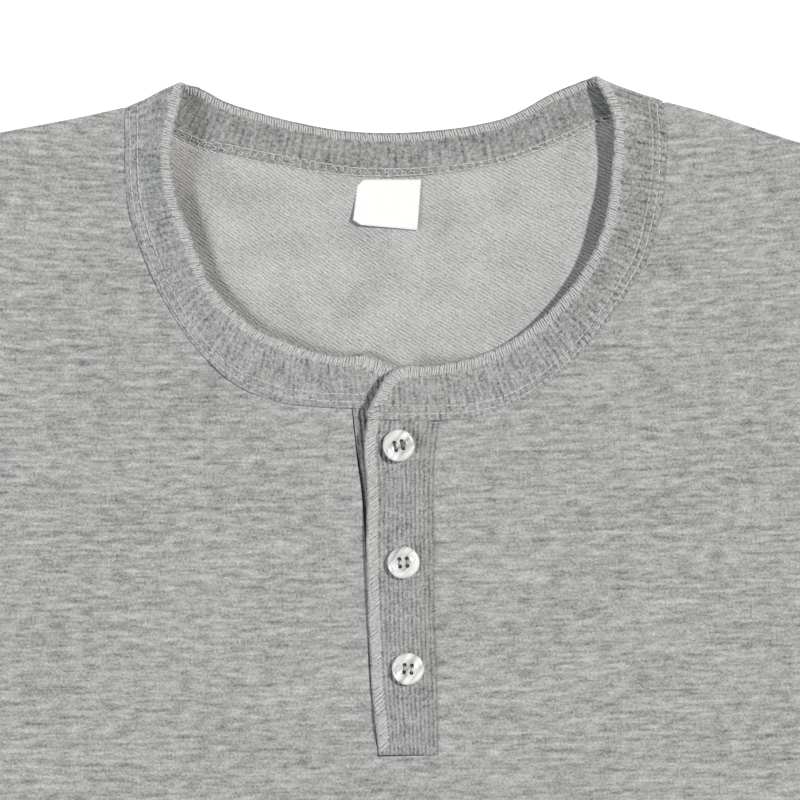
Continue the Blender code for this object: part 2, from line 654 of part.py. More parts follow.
def build_sleeve(name, armhole, rows, folds, side, collection):
    """A flattened sleeve: one tube, open at the armhole and the cuff, its upper layer on its lower.

    side is -1 on the left of the shirt as it lies and 1 on the right.
    """
    count = (SLIT_ROWS + NECK_ROWS) // 2
    edge = moved_out(evenly(armhole, 2 * count)[::-2], -side * ARMHOLE_GAP)
    shares = np.linspace(0.0, 1.0, count + 1)[:, None]
    rings = []
    for number, line in enumerate(evenly(rows, SLEEVE_RINGS)):
        straight = line[:2] + (line[2:] - line[:2]) * shares
        bow = edge - (edge[0] + (edge[-1] - edge[0]) * shares)
        flat = straight + bow * (1 - ease(number, 0.0, ARMHOLE_BOW_RINGS))
        rings.append((flat, FRONT_LEVEL + fold_rise(folds, flat[:, 0], flat[:, 1])))
    shape = bmesh.new()
    walls = [
        [
            [shape.verts.new(point) for point in world(*sleeve_ring(flat, heights, inside).T)]
            for flat, heights in rings
        ]
        for inside in (1, -1)
    ]
    around = len(walls[0][0])
    for wall in walls:
        for here, there in zip(wall, wall[1:]):
            for k in range(around):
                after = (k + 1) % around
                shape.faces.new((here[k], here[after], there[after], there[k]))
    for end in (0, -1):
        outer, inner = (wall[end] for wall in walls)
        for k in range(around):
            after = (k + 1) % around
            shape.faces.new((outer[k], outer[after], inner[after], inner[k]))
    add_object(name, finished_mesh(shape, name), collection, "jersey", JERSEY)


# ---- placket ---------------------------------------------------------------------------------------
def build_placket(name, rows, collection):
    """A ribbed strip, its ribs running down it.

    Its free left edge, its middle and its sewn right edge each lie at the height their rows give.
    """
    table = evenly(rows, PLACKET_ROWS)
    left, right = table[:, [0, 1]], table[:, [4, 5]]
    width = np.linalg.norm(right - left, axis=1).mean()
    count = RIB_GROUP * round(2 * width / RIB_PITCH / RIB_GROUP)
    share = np.linspace(0.0, 1.0, count + 1)
    flat = left[None] + (right - left)[None] * share[:, None, None]
    free = (1 - ease(share, 0.0, PLACKET_FREE_SHARE))[:, None]
    sewn = ease(share, *PLACKET_SEWN_SHARES)[:, None]
    heights = table[:, 3] + (table[:, 2] - table[:, 3]) * free + (table[:, 6] - table[:, 3]) * sewn
    grid = world(flat[..., 0], flat[..., 1], heights)[:, ::-1]
    plain = np.zeros(count + 1)
    ribbed_object(name, grid, plain + 1.0, plain, collection, "rib", RIB)


# ---- trim ------------------------------------------------------------------------------------------
def build_label(collection):
    """The woven neck label, hanging from the band's seam on the inside of the back."""
    shape = bmesh.new()
    level = BACK_LEVEL + HALF_CLOTH + SEAM_GAP + LABEL_THICKNESS / 2
    corners = [shape.verts.new(world(point.across, point.drop, level)) for point in LABEL_CORNERS]
    shape.faces.new(corners)
    mesh = finished_mesh(shape, "label")
    thicken(add_object("label", mesh, collection, "woven_label", WOVEN_LABEL), LABEL_THICKNESS)


def button_mesh():
    """A dished round button about its own axis, without its holes, its underside at 0."""
    places = [
        (rim.radius_share * BUTTON_RADIUS * MM, 0.0, rim.height_share * BUTTON_THICKNESS * MM)
        for rim in BUTTON_PROFILE
    ]
    mesh = bpy.data.meshes.new("button")
    mesh.from_pydata(places, [(k, k + 1) for k in range(len(places) - 1)], [])
    return mesh


def hole_cutter(name, collection):
    """Four upright pins where a button's sewing holes are."""
    shape = bmesh.new()
    for turn in range(4):
        angle = math.radians(45 + 90 * turn)
        reach = BUTTON_HOLE_OFFSET * math.sqrt(2) * MM
        place = Vector((math.cos(angle) * reach, math.sin(angle) * reach, BUTTON_THICKNESS / 2 * MM))
        bmesh.ops.create_cone(
            shape,
            cap_ends=True,
            segments=BUTTON_HOLE_STEPS,
            radius1=BUTTON_HOLE_RADIUS * MM,
            radius2=BUTTON_HOLE_RADIUS * MM,
            depth=3 * BUTTON_THICKNESS * MM,
            matrix=Matrix.Translation(place),
        )
    mesh = bpy.data.meshes.new(name)
    shape.to_mesh(mesh)
    shape.free()
    cutter = bpy.data.objects.new(name, mesh)
    cutter.hide_render = True
    cutter.display_type = "WIRE"
    collection.objects.link(cutter)
    return cutter


def build_button(button, collection, cutters):
    """One four-hole button, lying on the placket, its near rim SEAM_GAP above the ribs."""
    made = add_object(button.name, button_mesh(), collection, "pearl", PEARL)
    screw = made.modifiers.new("turned", "SCREW")
    screw.steps = BUTTON_STEPS
    screw.render_steps = BUTTON_STEPS
    screw.use_merge_vertices = True
    screw.merge_threshold = WELD * MM
    screw.use_smooth_shade = True
    cutter = hole_cutter(f"{button.name}_holes", cutters)
    cut = made.modifiers.new("sewing holes", "BOOLEAN")
    cut.operation = "DIFFERENCE"
    cut.solver = "EXACT"
    cut.object = cutter
    placket_top = PLACKET_TOP[2].middle_height + HALF_CLOTH + RIB_RELIEF
    lift = BUTTON_FOOT_SHARE * BUTTON_RADIUS * math.sin(math.radians(button.tilt))
    place = world(button.across, button.drop, placket_top + 2 * SEAM_GAP + lift)
    for thing in (made, cutter):
        thing.location = place
        thing.rotation_euler = (0.0, math.radians(button.tilt), math.radians(button.turn))


def main():
    """Builds every piece of the shirt."""
    clear_scene()
    shirt = new_collection("henley_shirt")
    cutters = new_collection("cutters")
    points, left_ridge, right_ridge = build_band(shirt)
    build_front(points, left_ridge, right_ridge, shirt)
    build_back(points, left_ridge, right_ridge, shirt)
    build_sleeve("sleeve_left", ARMHOLE_LEFT, SLEEVE_LEFT, SLEEVE_FOLDS_LEFT, -1, shirt)
    build_sleeve("sleeve_right", ARMHOLE_RIGHT, SLEEVE_RIGHT, SLEEVE_FOLDS_RIGHT, 1, shirt)
    build_placket("placket_top", PLACKET_TOP, shirt)
    build_placket("placket_under", PLACKET_UNDER, shirt)
    build_label(shirt)
    for button in BUTTONS:
        build_button(button, shirt, cutters)


main()
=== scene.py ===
"""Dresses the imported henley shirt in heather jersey, rib knit, a looped inside, threads, buttons and a label.

Places on the garment are in millimetres: across from its centre line, positive towards the wearer's left
sleeve, drop down from its high shoulder points, and height above the surface that it lies on. The model is
in metres, +Z up, +Y towards the neck.
"""

import logging
import math
from dataclasses import dataclass
from typing import NamedTuple

import bpy
import numpy as np
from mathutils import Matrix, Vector
from mathutils.bvhtree import BVHTree

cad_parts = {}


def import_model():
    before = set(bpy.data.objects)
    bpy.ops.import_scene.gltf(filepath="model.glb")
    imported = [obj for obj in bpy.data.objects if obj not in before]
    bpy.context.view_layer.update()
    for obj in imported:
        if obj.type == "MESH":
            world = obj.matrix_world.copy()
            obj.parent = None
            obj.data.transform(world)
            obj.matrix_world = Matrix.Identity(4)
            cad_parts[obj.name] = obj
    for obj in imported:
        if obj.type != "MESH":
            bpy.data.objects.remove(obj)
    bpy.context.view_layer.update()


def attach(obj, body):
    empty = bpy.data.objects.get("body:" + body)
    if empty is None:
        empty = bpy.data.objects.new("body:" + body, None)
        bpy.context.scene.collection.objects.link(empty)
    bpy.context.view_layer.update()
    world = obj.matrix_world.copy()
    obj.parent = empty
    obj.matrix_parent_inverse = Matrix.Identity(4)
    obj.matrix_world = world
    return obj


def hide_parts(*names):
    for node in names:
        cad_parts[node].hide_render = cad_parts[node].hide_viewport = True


LOG = logging.getLogger("henley_shirt")
MM = 0.001
UV_NAME = "cloth"
Array = np.ndarray
Triple = tuple[float, float, float]
Colour = Triple

# ---- driving dimensions, mm ------------------------------------------------------------------------
BODY_LENGTH = 735.0
UNDERARM_DROP = 260.2
MIDDLE_DROP = 367.0
CLOTH = 1.2
HALF_CLOTH = CLOTH / 2
SEAM_GAP = 0.3
BACK_LEVEL = HALF_CLOTH
FRONT_LEVEL = BACK_LEVEL + CLOTH + SEAM_GAP
SIDE_SEAM_LEVEL = (BACK_LEVEL + FRONT_LEVEL) / 2
BAND_RIB_PITCH = 2.4          # at the middle of the band; the ribs spread towards the back
BAND_RIB_PITCHES = ((25.0, 2.85), (60.0, 2.6), (100.0, 2.3), (115.0, 2.15))   # drop, pitch
PLACKET_RIB_PITCH = 1.7
HEM_DEPTH = 22.0
HEM_ROWS = (HEM_DEPTH, HEM_DEPTH - 4.0)
SLEEVE_LENGTH = 600.0         # along which a sleeve's hem and grain are counted
SLEEVE_WIDTH = 150.0          # from fold to fold, as its grain is counted
SLEEVE_FOLD = 1.5             # from a layer's edge to the outside of a fold, as its grain is counted
SLEEVE_EASE = 210.0           # how far down a sleeve the curve of its armhole shows
CHEST_HALF_WIDTH = 230.0      # along which the steps of the panels' grids above the underarm are counted
CHEST_RISE = 220.0
NECK_TUCK = 0.45              # how far the panels reach under the band's edge
EDGE_RADIUS = 1.5             # of the rounding of the panels' outlines
RIM_GAP = 0.12                # from the side seams' level to either panel's rounded edge
FULL_BAND_WIDTH = 14.0        # a narrower stretch of the band has its rows drawn together
FOLD_COLUMNS = 6              # how many of the band's columns a shoulder fold takes on either side
NEEDLE_GAP = 2.85             # from one of the twin needle rows to the other
# How far the lower needle row lies from the band's seam, at a few drops down each side.
NEEDLE_WANDER_LEFT = ((20.0, 1.7), (55.0, 2.1), (95.0, 1.3), (110.0, 1.5), (121.0, 3.1), (126.0, 2.5))
NEEDLE_WANDER_RIGHT = ((20.0, 2.5), (60.0, 2.1), (105.0, 1.2), (128.0, 1.6), (131.4, 2.6))
COVERSTITCH_LOW = 0.4         # from the band's seam to either line of its back's cover stitch
COVERSTITCH_HIGH = 3.1
PLACKET_HEIGHT = 4.0          # of the middle of the upper placket
BUTTON_GAP = 0.25             # between the ribs and a button that lies level
LABEL_LEVEL = 1.62
LABEL_THICKNESS = 0.32
LABEL_CORNER_LIFT = 1.1
FOLD_ANGLES = (90, 60, 30, 0, -30, -60, -90)
FOLD_RADIUS_INNER = 2.4
FOLD_RADIUS_OUTER = 1.0


# ---- rows of the tables ----------------------------------------------------------------------------
class Point(NamedTuple):
    """A place on the flat garment."""

    across: float
    drop: float


class Side(NamedTuple):
    """How far the body reaches to either side at a drop."""

    drop: float
    left: float
    right: float


class Section(NamedTuple):
    """One section of the neck band, from its inner edge to its seam edge."""

    inner_across: float
    inner_drop: float
    inner_height: float
    outer_across: float
    outer_drop: float
    outer_height: float


class PlacketRow(NamedTuple):
    """One row across a placket strip."""

    left_across: float
    left_drop: float
    left_height: float
    middle_height: float
    right_across: float
    right_drop: float
    right_height: float


class Fold(NamedTuple):
    """A soft ridge of slack cloth. A bearing of 0 runs across the shirt, 90 runs down it."""

    across: float
    drop: float
    bearing: float
    length: float
    width: float
    rise: float


class SleeveRow(NamedTuple):
    """Where a sleeve's top fold and underarm fold lie."""

    top_across: float
    top_drop: float
    under_across: float
    under_drop: float


class Stitch(NamedTuple):
    """A row of needle stitches: their pitch, their length and the thread's radius, in metres."""

    pitch: float
    length: float
    radius: float


class Sun(NamedTuple):
    """A distant light. Its azimuth runs from +X towards +Y, and all its angles are in degrees."""

    name: str
    strength: float
    azimuth: float
    elevation: float
    spread: float
    tint: Colour


class Cut(NamedTuple):
    """A sheet of cloth: its slot, its solid, its flat size in metres, its area and what it rests on."""

    slot: str
    node: str
    flat: tuple[float, float]
    area: float | None
    under: list[str]


class ButtonPlace(NamedTuple):
    """Where a button lies, how far it tips towards the wearer's left, and its turn, in degrees."""

    name: str
    across: float
    drop: float
    tilt: float
    turn: float


# ---- tables, mm where nothing else is said ---------------------------------------------------------
SIDES = (
    Side(BODY_LENGTH, 268.0, 268.0),
    Side(640.0, 263.0, 264.0),
    Side(520.0, 260.0, 262.0),
    Side(400.0, 264.0, 265.0),
    Side(310.0, 270.0, 271.0),
    Side(UNDERARM_DROP, 273.0, 274.0),
)
ARMHOLE_LEFT = (
    Point(-273.0, UNDERARM_DROP),
    Point(-251.0, 243.0),
    Point(-235.0, 205.0),
    Point(-230.0, 150.0),
    Point(-234.0, 90.0),
    Point(-241.0, 40.0),
)
ARMHOLE_RIGHT = (
    Point(274.0, UNDERARM_DROP),
    Point(252.0, 244.0),
    Point(236.0, 208.0),
    Point(231.0, 155.0),
    Point(235.0, 98.0),
    Point(243.0, 51.0),
)
SHOULDER_LEFT = (
    Point(-102.0, 8.6),
    Point(-118.9, 12.0),
    Point(-149.8, 17.3),
    Point(-195.0, 27.0),
    Point(-241.0, 40.0),
)
SHOULDER_RIGHT = (
    Point(107.2, 10.9),
    Point(119.8, 14.5),
    Point(158.1, 27.6),
    Point(200.0, 38.5),
    Point(243.0, 51.0),
)
SLIT_LEFT = (
    Point(-9.4, UNDERARM_DROP),
    Point(-10.3, 246.0),
    Point(-11.5, 234.6),
    Point(-11.9, 200.0),
    Point(-12.35, 180.0),
    Point(-13.3, 161.4),
    Point(-15.3, 142.0),
    Point(-16.7, 125.9),
)
SLIT_RIGHT = (
    Point(13.4, UNDERARM_DROP),
    Point(13.5, 246.0),
    Point(13.3, 231.0),
    Point(13.1, 200.0),
    Point(13.4, 177.0),
    Point(13.8, 154.0),
    Point(14.7, 142.0),
    Point(16.4, 131.2),
)
BAND_FRONT_LEFT = (
    Section(8.0, 115.7, 2.4, 8.1, 127.1, 2.4),
    Section(3.8, 112.9, 2.4, 3.9, 127.0, 2.4),
    Section(-0.8, 109.9, 2.5, -0.3, 126.9, 2.4),
    Section(-5.3, 107.5, 2.6, -4.2, 126.6, 2.4),
    Section(-10.7, 105.5, 2.8, -9.2, 126.4, 2.4),
    Section(-18.7, 105.7, 3.0, -18.0, 125.9, 2.4),
    Section(-28.4, 104.2, 3.2, -29.6, 125.3, 2.4),
    Section(-41.7, 99.4, 3.6, -44.9, 122.9, 2.4),
    Section(-52.0, 94.6, 4.0, -60.2, 116.5, 2.4),
    Section(-61.5, 86.5, 4.6, -73.5, 104.5, 2.4),
    Section(-69.8, 76.7, 5.6, -85.0, 88.3, 2.4),
    Section(-76.3, 60.0, 7.1, -94.6, 68.1, 2.4),
    Section(-81.4, 45.3, 8.3, -100.7, 48.0, 2.4),
    Section(-83.6, 31.0, 8.9, -101.8, 31.0, 2.4),
    Section(-82.8, 20.2, 9.0, -101.5, 20.6, 2.5),
    Section(-80.3, 8.9, 7.6, -101.5, 12.6, 2.6),
)
SHOULDER_FOLD_LEFT = Section(-78.3, 0.2, 0.0, -100.9, 9.2, 0.0)
BAND_BACK = (
    Section(-73.2, 1.3, 0.6, -94.6, 11.8, 0.6),
    Section(-72.0, 2.2, 0.6, -89.0, 16.6, 0.6),
    Section(-70.6, 2.7, 0.6, -82.3, 20.6, 0.6),
    Section(-64.1, 6.6, 0.6, -72.0, 25.2, 0.6),
    Section(-51.1, 11.4, 0.6, -56.6, 29.4, 0.6),
    Section(-34.2, 16.1, 0.6, -37.7, 33.4, 0.6),
    Section(-17.0, 19.4, 0.6, -18.5, 36.4, 0.6),
    Section(0.3, 20.5, 0.6, 0.0, 37.5, 0.6),
    Section(17.7, 19.9, 0.6, 19.2, 36.6, 0.6),
    Section(35.0, 17.8, 0.6, 39.3, 33.8, 0.6),
    Section(44.6, 15.6, 0.6, 49.6, 31.3, 0.6),
    Section(50.6, 13.1, 0.6, 56.4, 29.0, 0.6),
    Section(62.2, 6.9, 0.6, 69.6, 24.1, 0.6),
    Section(70.6, 3.5, 0.6, 80.4, 19.2, 0.6),
    Section(72.4, 2.9, 0.6, 89.4, 16.2, 0.6),
    Section(73.9, 2.2, 0.6, 97.3, 13.7, 0.6),
)
SHOULDER_FOLD_RIGHT = Section(78.7, 0.8, 0.0, 105.2, 10.9, 0.0)
BAND_FRONT_RIGHT = (
    Section(83.2, 9.4, 7.0, 105.8, 15.9, 2.6),
    Section(85.9, 17.6, 9.1, 106.4, 23.0, 2.5),
    Section(86.0, 27.2, 8.7, 106.5, 30.9, 2.4),
    Section(84.6, 39.5, 8.4, 105.4, 42.9, 2.4),
    Section(82.8, 52.0, 10.0, 102.6, 57.0, 2.4),
    Section(79.1, 64.0, 9.2, 98.0, 71.2, 2.4),
    Section(72.3, 75.8, 7.8, 89.1, 85.6, 2.4),
    Section(62.9, 87.2, 7.0, 76.2, 102.4, 2.4),
    Section(50.7, 97.4, 4.7, 61.3, 116.4, 2.4),
    Section(39.8, 103.8, 3.4, 47.8, 125.0, 2.4),
    Section(28.5, 107.8, 3.6, 33.1, 129.8, 2.5),
    Section(17.7, 109.7, 5.0, 20.0, 131.4, 3.2),
    Section(8.9, 110.1, 6.0, 9.6, 131.3, 4.3),
    Section(2.3, 110.2, 7.2, 1.9, 131.0, 5.0),
    Section(-2.0, 112.8, 8.0, -2.4, 130.8, 5.6),
    Section(-6.0, 118.4, 7.8, -5.8, 130.7, 5.9),
    Section(-8.8, 124.0, 7.2, -8.9, 130.6, 6.0),
    Section(-10.3, 127.8, 6.2, -10.5, 130.5, 6.0),
)
PLACKET_TOP = (
    PlacketRow(-10.9, 131.2, 6.0, 4.6, 15.9, 131.9, 2.4),
    PlacketRow(-12.0, 137.0, 6.0, 4.2, 15.0, 138.0, 2.1),
    PlacketRow(-12.3, 145.3, 5.8, 4.0, 13.9, 146.0, 2.1),
    PlacketRow(-11.6, 154.0, 5.4, 4.0, 13.4, 154.0, 2.1),
    PlacketRow(-12.2, 177.0, 4.8, 4.0, 13.0, 177.0, 2.1),
    PlacketRow(-12.2, 200.0, 4.2, 4.0, 12.7, 200.0, 2.1),
    PlacketRow(-11.9, 215.4, 3.9, 4.0, 12.6, 215.9, 2.1),
    PlacketRow(-11.3, 234.7, 3.8, 4.1, 12.9, 231.3, 2.1),
    PlacketRow(-10.1, 248.5, 3.7, 4.1, 13.1, 247.0, 2.1),
    PlacketRow(-9.1, 259.4, 2.1, 2.1, 13.0, 259.8, 2.1),
)
PLACKET_UNDER = (
    PlacketRow(-16.3, 126.7, 2.1, 2.1, 8.3, 127.1, 2.1),
    PlacketRow(-15.0, 142.0, 2.1, 2.1, 8.3, 142.0, 2.1),
    PlacketRow(-13.1, 161.4, 2.1, 2.1, 8.3, 161.4, 2.1),
    PlacketRow(-12.15, 180.0, 2.1, 2.1, 8.3, 180.0, 2.1),
    PlacketRow(-11.7, 200.0, 2.1, 2.1, 8.3, 200.0, 2.1),
    PlacketRow(-11.2, 234.6, 2.1, 2.1, 8.3, 234.6, 2.1),
    PlacketRow(-10.3, 243.0, 2.1, 2.1, 8.3, 243.0, 2.1),
)
LABEL_TOP = (Point(-12.4, 38.2), Point(11.9, 38.6))
LABEL_FOOT = (Point(-14.6, 53.7), Point(-11.6, 55.7), Point(10.0, 58.1))
BUTTON_PLACES = (
    ButtonPlace("button_1", 1.0, 140.8, 7.0, 12.0),
    ButtonPlace("button_2", 2.0, 185.7, 0.0, 4.0),
    ButtonPlace("button_3", 2.9, 226.6, 0.0, -6.0),
)
FRONT_FOLDS = (
    Fold(-196.0, 300.0, 38.0, 70.0, 16.0, 4.5),
    Fold(-170.0, 345.0, 52.0, 80.0, 20.0, 3.5),
    Fold(198.0, 306.0, -36.0, 66.0, 17.0, 4.0),
    Fold(166.0, 352.0, -50.0, 84.0, 19.0, 3.8),
    Fold(-70.0, 560.0, 82.0, 110.0, 26.0, 3.5),
    Fold(96.0, 500.0, 98.0, 120.0, 30.0, 3.0),
    Fold(150.0, 640.0, 86.0, 60.0, 22.0, 3.2),
    Fold(-178.0, 640.0, 94.0, 64.0, 24.0, 3.0),
)
SLEEVE_LEFT = (
    SleeveRow(-241.6, 40.2, -273.4, 259.8),
    SleeveRow(-304.0, 75.0, -297.0, 279.0),
    SleeveRow(-395.4, 152.1, -360.0, 329.0),
    SleeveRow(-489.7, 242.1, -447.5, 396.0),
    SleeveRow(-581.7, 333.6, -535.0, 462.0),
    SleeveRow(-667.2, 418.0, -606.0, 517.0),
    SleeveRow(-720.0, 472.0, -650.0, 550.0),
)
SLEEVE_RIGHT = (
    SleeveRow(243.6, 51.2, 274.4, 259.8),
    SleeveRow(306.0, 84.0, 299.0, 279.0),
    SleeveRow(397.0, 158.0, 362.0, 330.0),
    SleeveRow(491.0, 247.0, 449.0, 397.0),
    SleeveRow(583.0, 338.0, 537.0, 464.0),
    SleeveRow(668.0, 422.0, 608.0, 520.0),
    SleeveRow(721.0, 476.0, 652.0, 554.0),
)
SLEEVE_FOLDS_LEFT = (
    Fold(-322.0, 232.0, 26.0, 42.0, 14.0, 4.0),
    Fold(-404.0, 262.0, 44.0, 46.0, 13.0, 3.5),
    Fold(-478.0, 336.0, 58.0, 40.0, 12.0, 4.0),
    Fold(-566.0, 414.0, 38.0, 30.0, 11.0, 3.0),
)
SLEEVE_FOLDS_RIGHT = (
    Fold(326.0, 228.0, -28.0, 40.0, 14.0, 3.8),
    Fold(398.0, 254.0, -50.0, 48.0, 14.0, 3.6),
    Fold(486.0, 346.0, -40.0, 38.0, 12.0, 4.2),
    Fold(574.0, 426.0, -56.0, 28.0, 11.0, 2.8),
)
BAND_STITCH = Stitch(0.00285, 0.002, 0.00023)
HEM_STITCH = Stitch(0.0034, 0.0026, 0.0003)
COVERSTITCH_PITCH = 0.0033    # m
COVERSTITCH_RADIUS = 0.00026  # m
# How the looper thread crosses from the high line of the cover stitch to the low one, as steps along it and
# shares of its height.
LOOPER_SHAPES = (
    ((0.05, 0.95), (0.08, 0.55), (0.5, 0.5), (0.56, 0.05)),
    ((0.1, 0.8), (0.5, 0.75), (0.5, 0.45), (0.12, 0.25), (0.5, 0.05)),
    ((0.05, 0.95), (0.3, 0.7), (0.12, 0.42), (0.45, 0.3), (0.4, 0.02)),
)
# Fine steps of a grid from a border inwards, and the same with the finest of them farthest from the border.
EDGE_STEPS = (0.2, 0.3, 0.4, 0.6, 1.0, 1.6, 2.6)
INNER_STEPS = EDGE_STEPS[::-1]
# A button's section, as shares of its radius and its thickness, from the middle of its top to its foot.
BUTTON_PROFILE = (
    (0.0, 0.55),
    (0.28, 0.555),
    (0.44, 0.60),
    (0.52, 0.72),
    (0.60, 0.88),
    (0.70, 0.975),
    (0.80, 1.0),
    (0.90, 0.95),
    (0.97, 0.80),
    (1.0, 0.60),
    (0.985, 0.40),
    (0.92, 0.18),
    (0.80, 0.0),
    (0.0, 0.0),
)
SUNS = (
    Sun("key_light", 2.86, 24.0, 47.0, 5.0, (1.0, 0.99, 0.965)),
    Sun("fill_light", 2.1, 204.0, 28.0, 22.0, (0.95, 0.972, 1.0)),
)
CUTS = (
    Cut("jersey", "front", (0.547, 0.727), 0.341, ["back_jersey"]),
    Cut("jersey", "back", (0.547, 0.727), 0.362, []),
    Cut("jersey", "sleeve_left", (0.44, 0.65), 0.17, []),
    Cut("jersey", "sleeve_right", (0.44, 0.65), 0.17, []),
    Cut("rib", "neck_band", (0.024, 0.56), None, ["front_jersey"]),
    Cut("rib", "placket_top", (0.027, 0.129), None, ["placket_under_rib"]),
    Cut("rib", "placket_under", (0.023, 0.116), None, ["back_jersey"]),
    Cut("woven_label", "label", (0.0245, 0.019), None, ["back_jersey"]),
)
SKY_COLOUR = (0.94, 0.965, 1.0, 1.0)
SKY_STRENGTH = 0.13


# ---- shaders ---------------------------------------------------------------------------------------
class Value:
    """An output of a material's nodes. Arithmetic on it adds Math nodes."""

    def __init__(self, graph: "Graph", socket: bpy.types.NodeSocket) -> None:
        """Keeps the socket and the graph that it belongs to."""
        self.graph = graph
        self.socket = socket

    def __add__(self, other: "Value | float") -> "Value":
        """The sum."""
        return self.graph.math("ADD", self, other)

    __radd__ = __add__

    def __sub__(self, other: "Value | float") -> "Value":
        """The difference."""
        return self.graph.math("SUBTRACT", self, other)

    def __rsub__(self, other: float) -> "Value":
        """The difference from a number."""
        return self.graph.math("SUBTRACT", other, self)

    def __mul__(self, other: "Value | float") -> "Value":
        """The product."""
        return self.graph.math("MULTIPLY", self, other)

    def __pow__(self, power: float) -> "Value":
        """The power."""
        return self.graph.math("POWER", self, power)

    def clamped(self) -> "Value":
        """The value held between 0 and 1."""
        return self.graph.math("ADD", self, 0.0, clamp=True)

    def sine(self) -> "Value":
        """Its sine."""
        return self.graph.math("SINE", self)

    def between(self, low: float, high: float) -> "Value":
        """A soft step from 0 at low to 1 at high.

        Args:
            low: where it starts.
            high: where it ends.

        Returns:
            The step.
        """
        settings = {"interpolation_type": "SMOOTHSTEP"}
        inputs = {"Value": self, "From Min": low, "From Max": high}
        return self.graph.out("ShaderNodeMapRange", 0, settings, inputs)


class Graph:
    """Adds nodes to a new material, whose shader is a Principled BSDF."""

    def __init__(self, name: str, constants: dict[str, float | Colour]) -> None:
        """Makes the material.

        Args:
            name: the material's name.
            constants: what each of the shader's sockets holds all over the surface.
        """
        self.material = bpy.data.materials.new(name)
        self.material.use_nodes = True
        self.tree = self.material.node_tree
        self.shader = self.tree.nodes["Principled BSDF"]
        for socket, value in constants.items():
            self.shader.inputs[socket].default_value = value

    def feed(self, socket: bpy.types.NodeSocket, value: Value | float | tuple) -> None:
        """Links a value to a socket, or sets the socket to a number.

        Args:
            socket: an input of a node.
            value: what it takes.
        """
        if isinstance(value, Value):
            self.tree.links.new(value.socket, socket)
        else:
            socket.default_value = value

    def out(self, kind: str, output: int | str, settings: dict, inputs: dict) -> Value:
        """Adds a node.

        Args:
            kind: the node's type.
            output: which of its outputs is wanted.
            settings: its own settings, set first.
            inputs: the values or links of its sockets.

        Returns:
            The output that was asked for.
        """
        made = self.tree.nodes.new(kind)
        for key, value in settings.items():
            setattr(made, key, value)
        for key, value in inputs.items():
            self.feed(made.inputs[key], value)
        return Value(self, made.outputs[output])

    def math(self, operation: str, a: Value | float, b: Value | float = 0.0, clamp: bool = False) -> Value:
        """Adds a Math node and returns its result."""
        settings = {"operation": operation, "use_clamp": clamp}
        return self.out("ShaderNodeMath", 0, settings, {0: a, 1: b})

    def cloth(self) -> Value:
        """The place on the cloth, in metres, along its courses and along its wales."""
        return self.out("ShaderNodeUVMap", 0, {"uv_map": UV_NAME}, {})

    def objectwise(self) -> Value:
        """The place in the model, in metres."""
        return self.out("ShaderNodeTexCoord", "Object", {}, {})

    def part(self, vector: Value, axis: int) -> Value:
        """One of a vector's three numbers."""
        return self.out("ShaderNodeSeparateXYZ", axis, {}, {0: vector})

    def vector(self, x: Value, y: Value) -> Value:
        """A vector from two numbers and 0."""
        return self.out("ShaderNodeCombineXYZ", 0, {}, {0: x, 1: y})

    def noise(
        self, place: Value, factors: Triple, detail: float = 0.0, shift: Triple = (0.0, 0.0, 0.0)
    ) -> Value:
        """Soft noise about 0, over a place multiplied by factors and then shifted.

        Args:
            place: where it is read.
            factors: how many of its features lie along a unit, on each axis.
            detail: how many finer layers it has.
            shift: what tells it from other noise.

        Returns:
            The noise.
        """
        inputs = {0: place, 1: factors, 2: shift}
        scaled = self.out("ShaderNodeVectorMath", 0, {"operation": "MULTIPLY_ADD"}, inputs)
        inputs = {"Vector": scaled, "Scale": 1.0, "Detail": detail, "Roughness": 0.55}
        return self.out("ShaderNodeTexNoise", 0, {}, inputs) - 0.5

    def melange(self, place: Value, grains: "tuple[Grain, ...]") -> Value:
        """The sum of layers of flecks about 0, over a place in metres.

        Args:
            place: the place on the cloth.
            grains: the layers.

        Returns:
            The sum.
        """
        total = None
        for number, grain in enumerate(grains):
            factors = (1 / (grain.length * MM), 1 / (grain.height * MM), 1.0)
            shift = (3.7 * number + grain.length, 5.3 * number + grain.height, 0.0)
            layer = self.noise(place, factors, shift=shift) * grain.strength
            total = layer if total is None else total + layer
        return total

    def finish(
        self, tone: Value, dark: Colour, light: Colour, height: Value | None = None, depth: float = 0.0
    ) -> bpy.types.Material:
        """Colours the surface and raises it.

        Args:
            tone: 0 where it is dark and 1 where it is light.
            dark: its darkest colour.
            light: its lightest colour.
            height: what its relief follows, if it has any.
            depth: how high a height of 1 stands, in metres.

        Returns:
            The material.
        """
        ends = {0: tone.clamped(), 6: (*dark, 1.0), 7: (*light, 1.0)}
        colour = self.out("ShaderNodeMix", 2, {"data_type": "RGBA"}, ends)
        self.feed(self.shader.inputs["Base Color"], colour)
        if height is not None:
            inputs = {"Strength": 1.0, "Distance": depth, "Height": height}
            self.feed(self.shader.inputs["Normal"], self.out("ShaderNodeBump", "Normal", {}, inputs))
        return self.material


class Grain(NamedTuple):
    """One layer of a melange: how long and how high its flecks are, in mm, and how strongly it counts."""

    length: float
    height: float
    strength: float


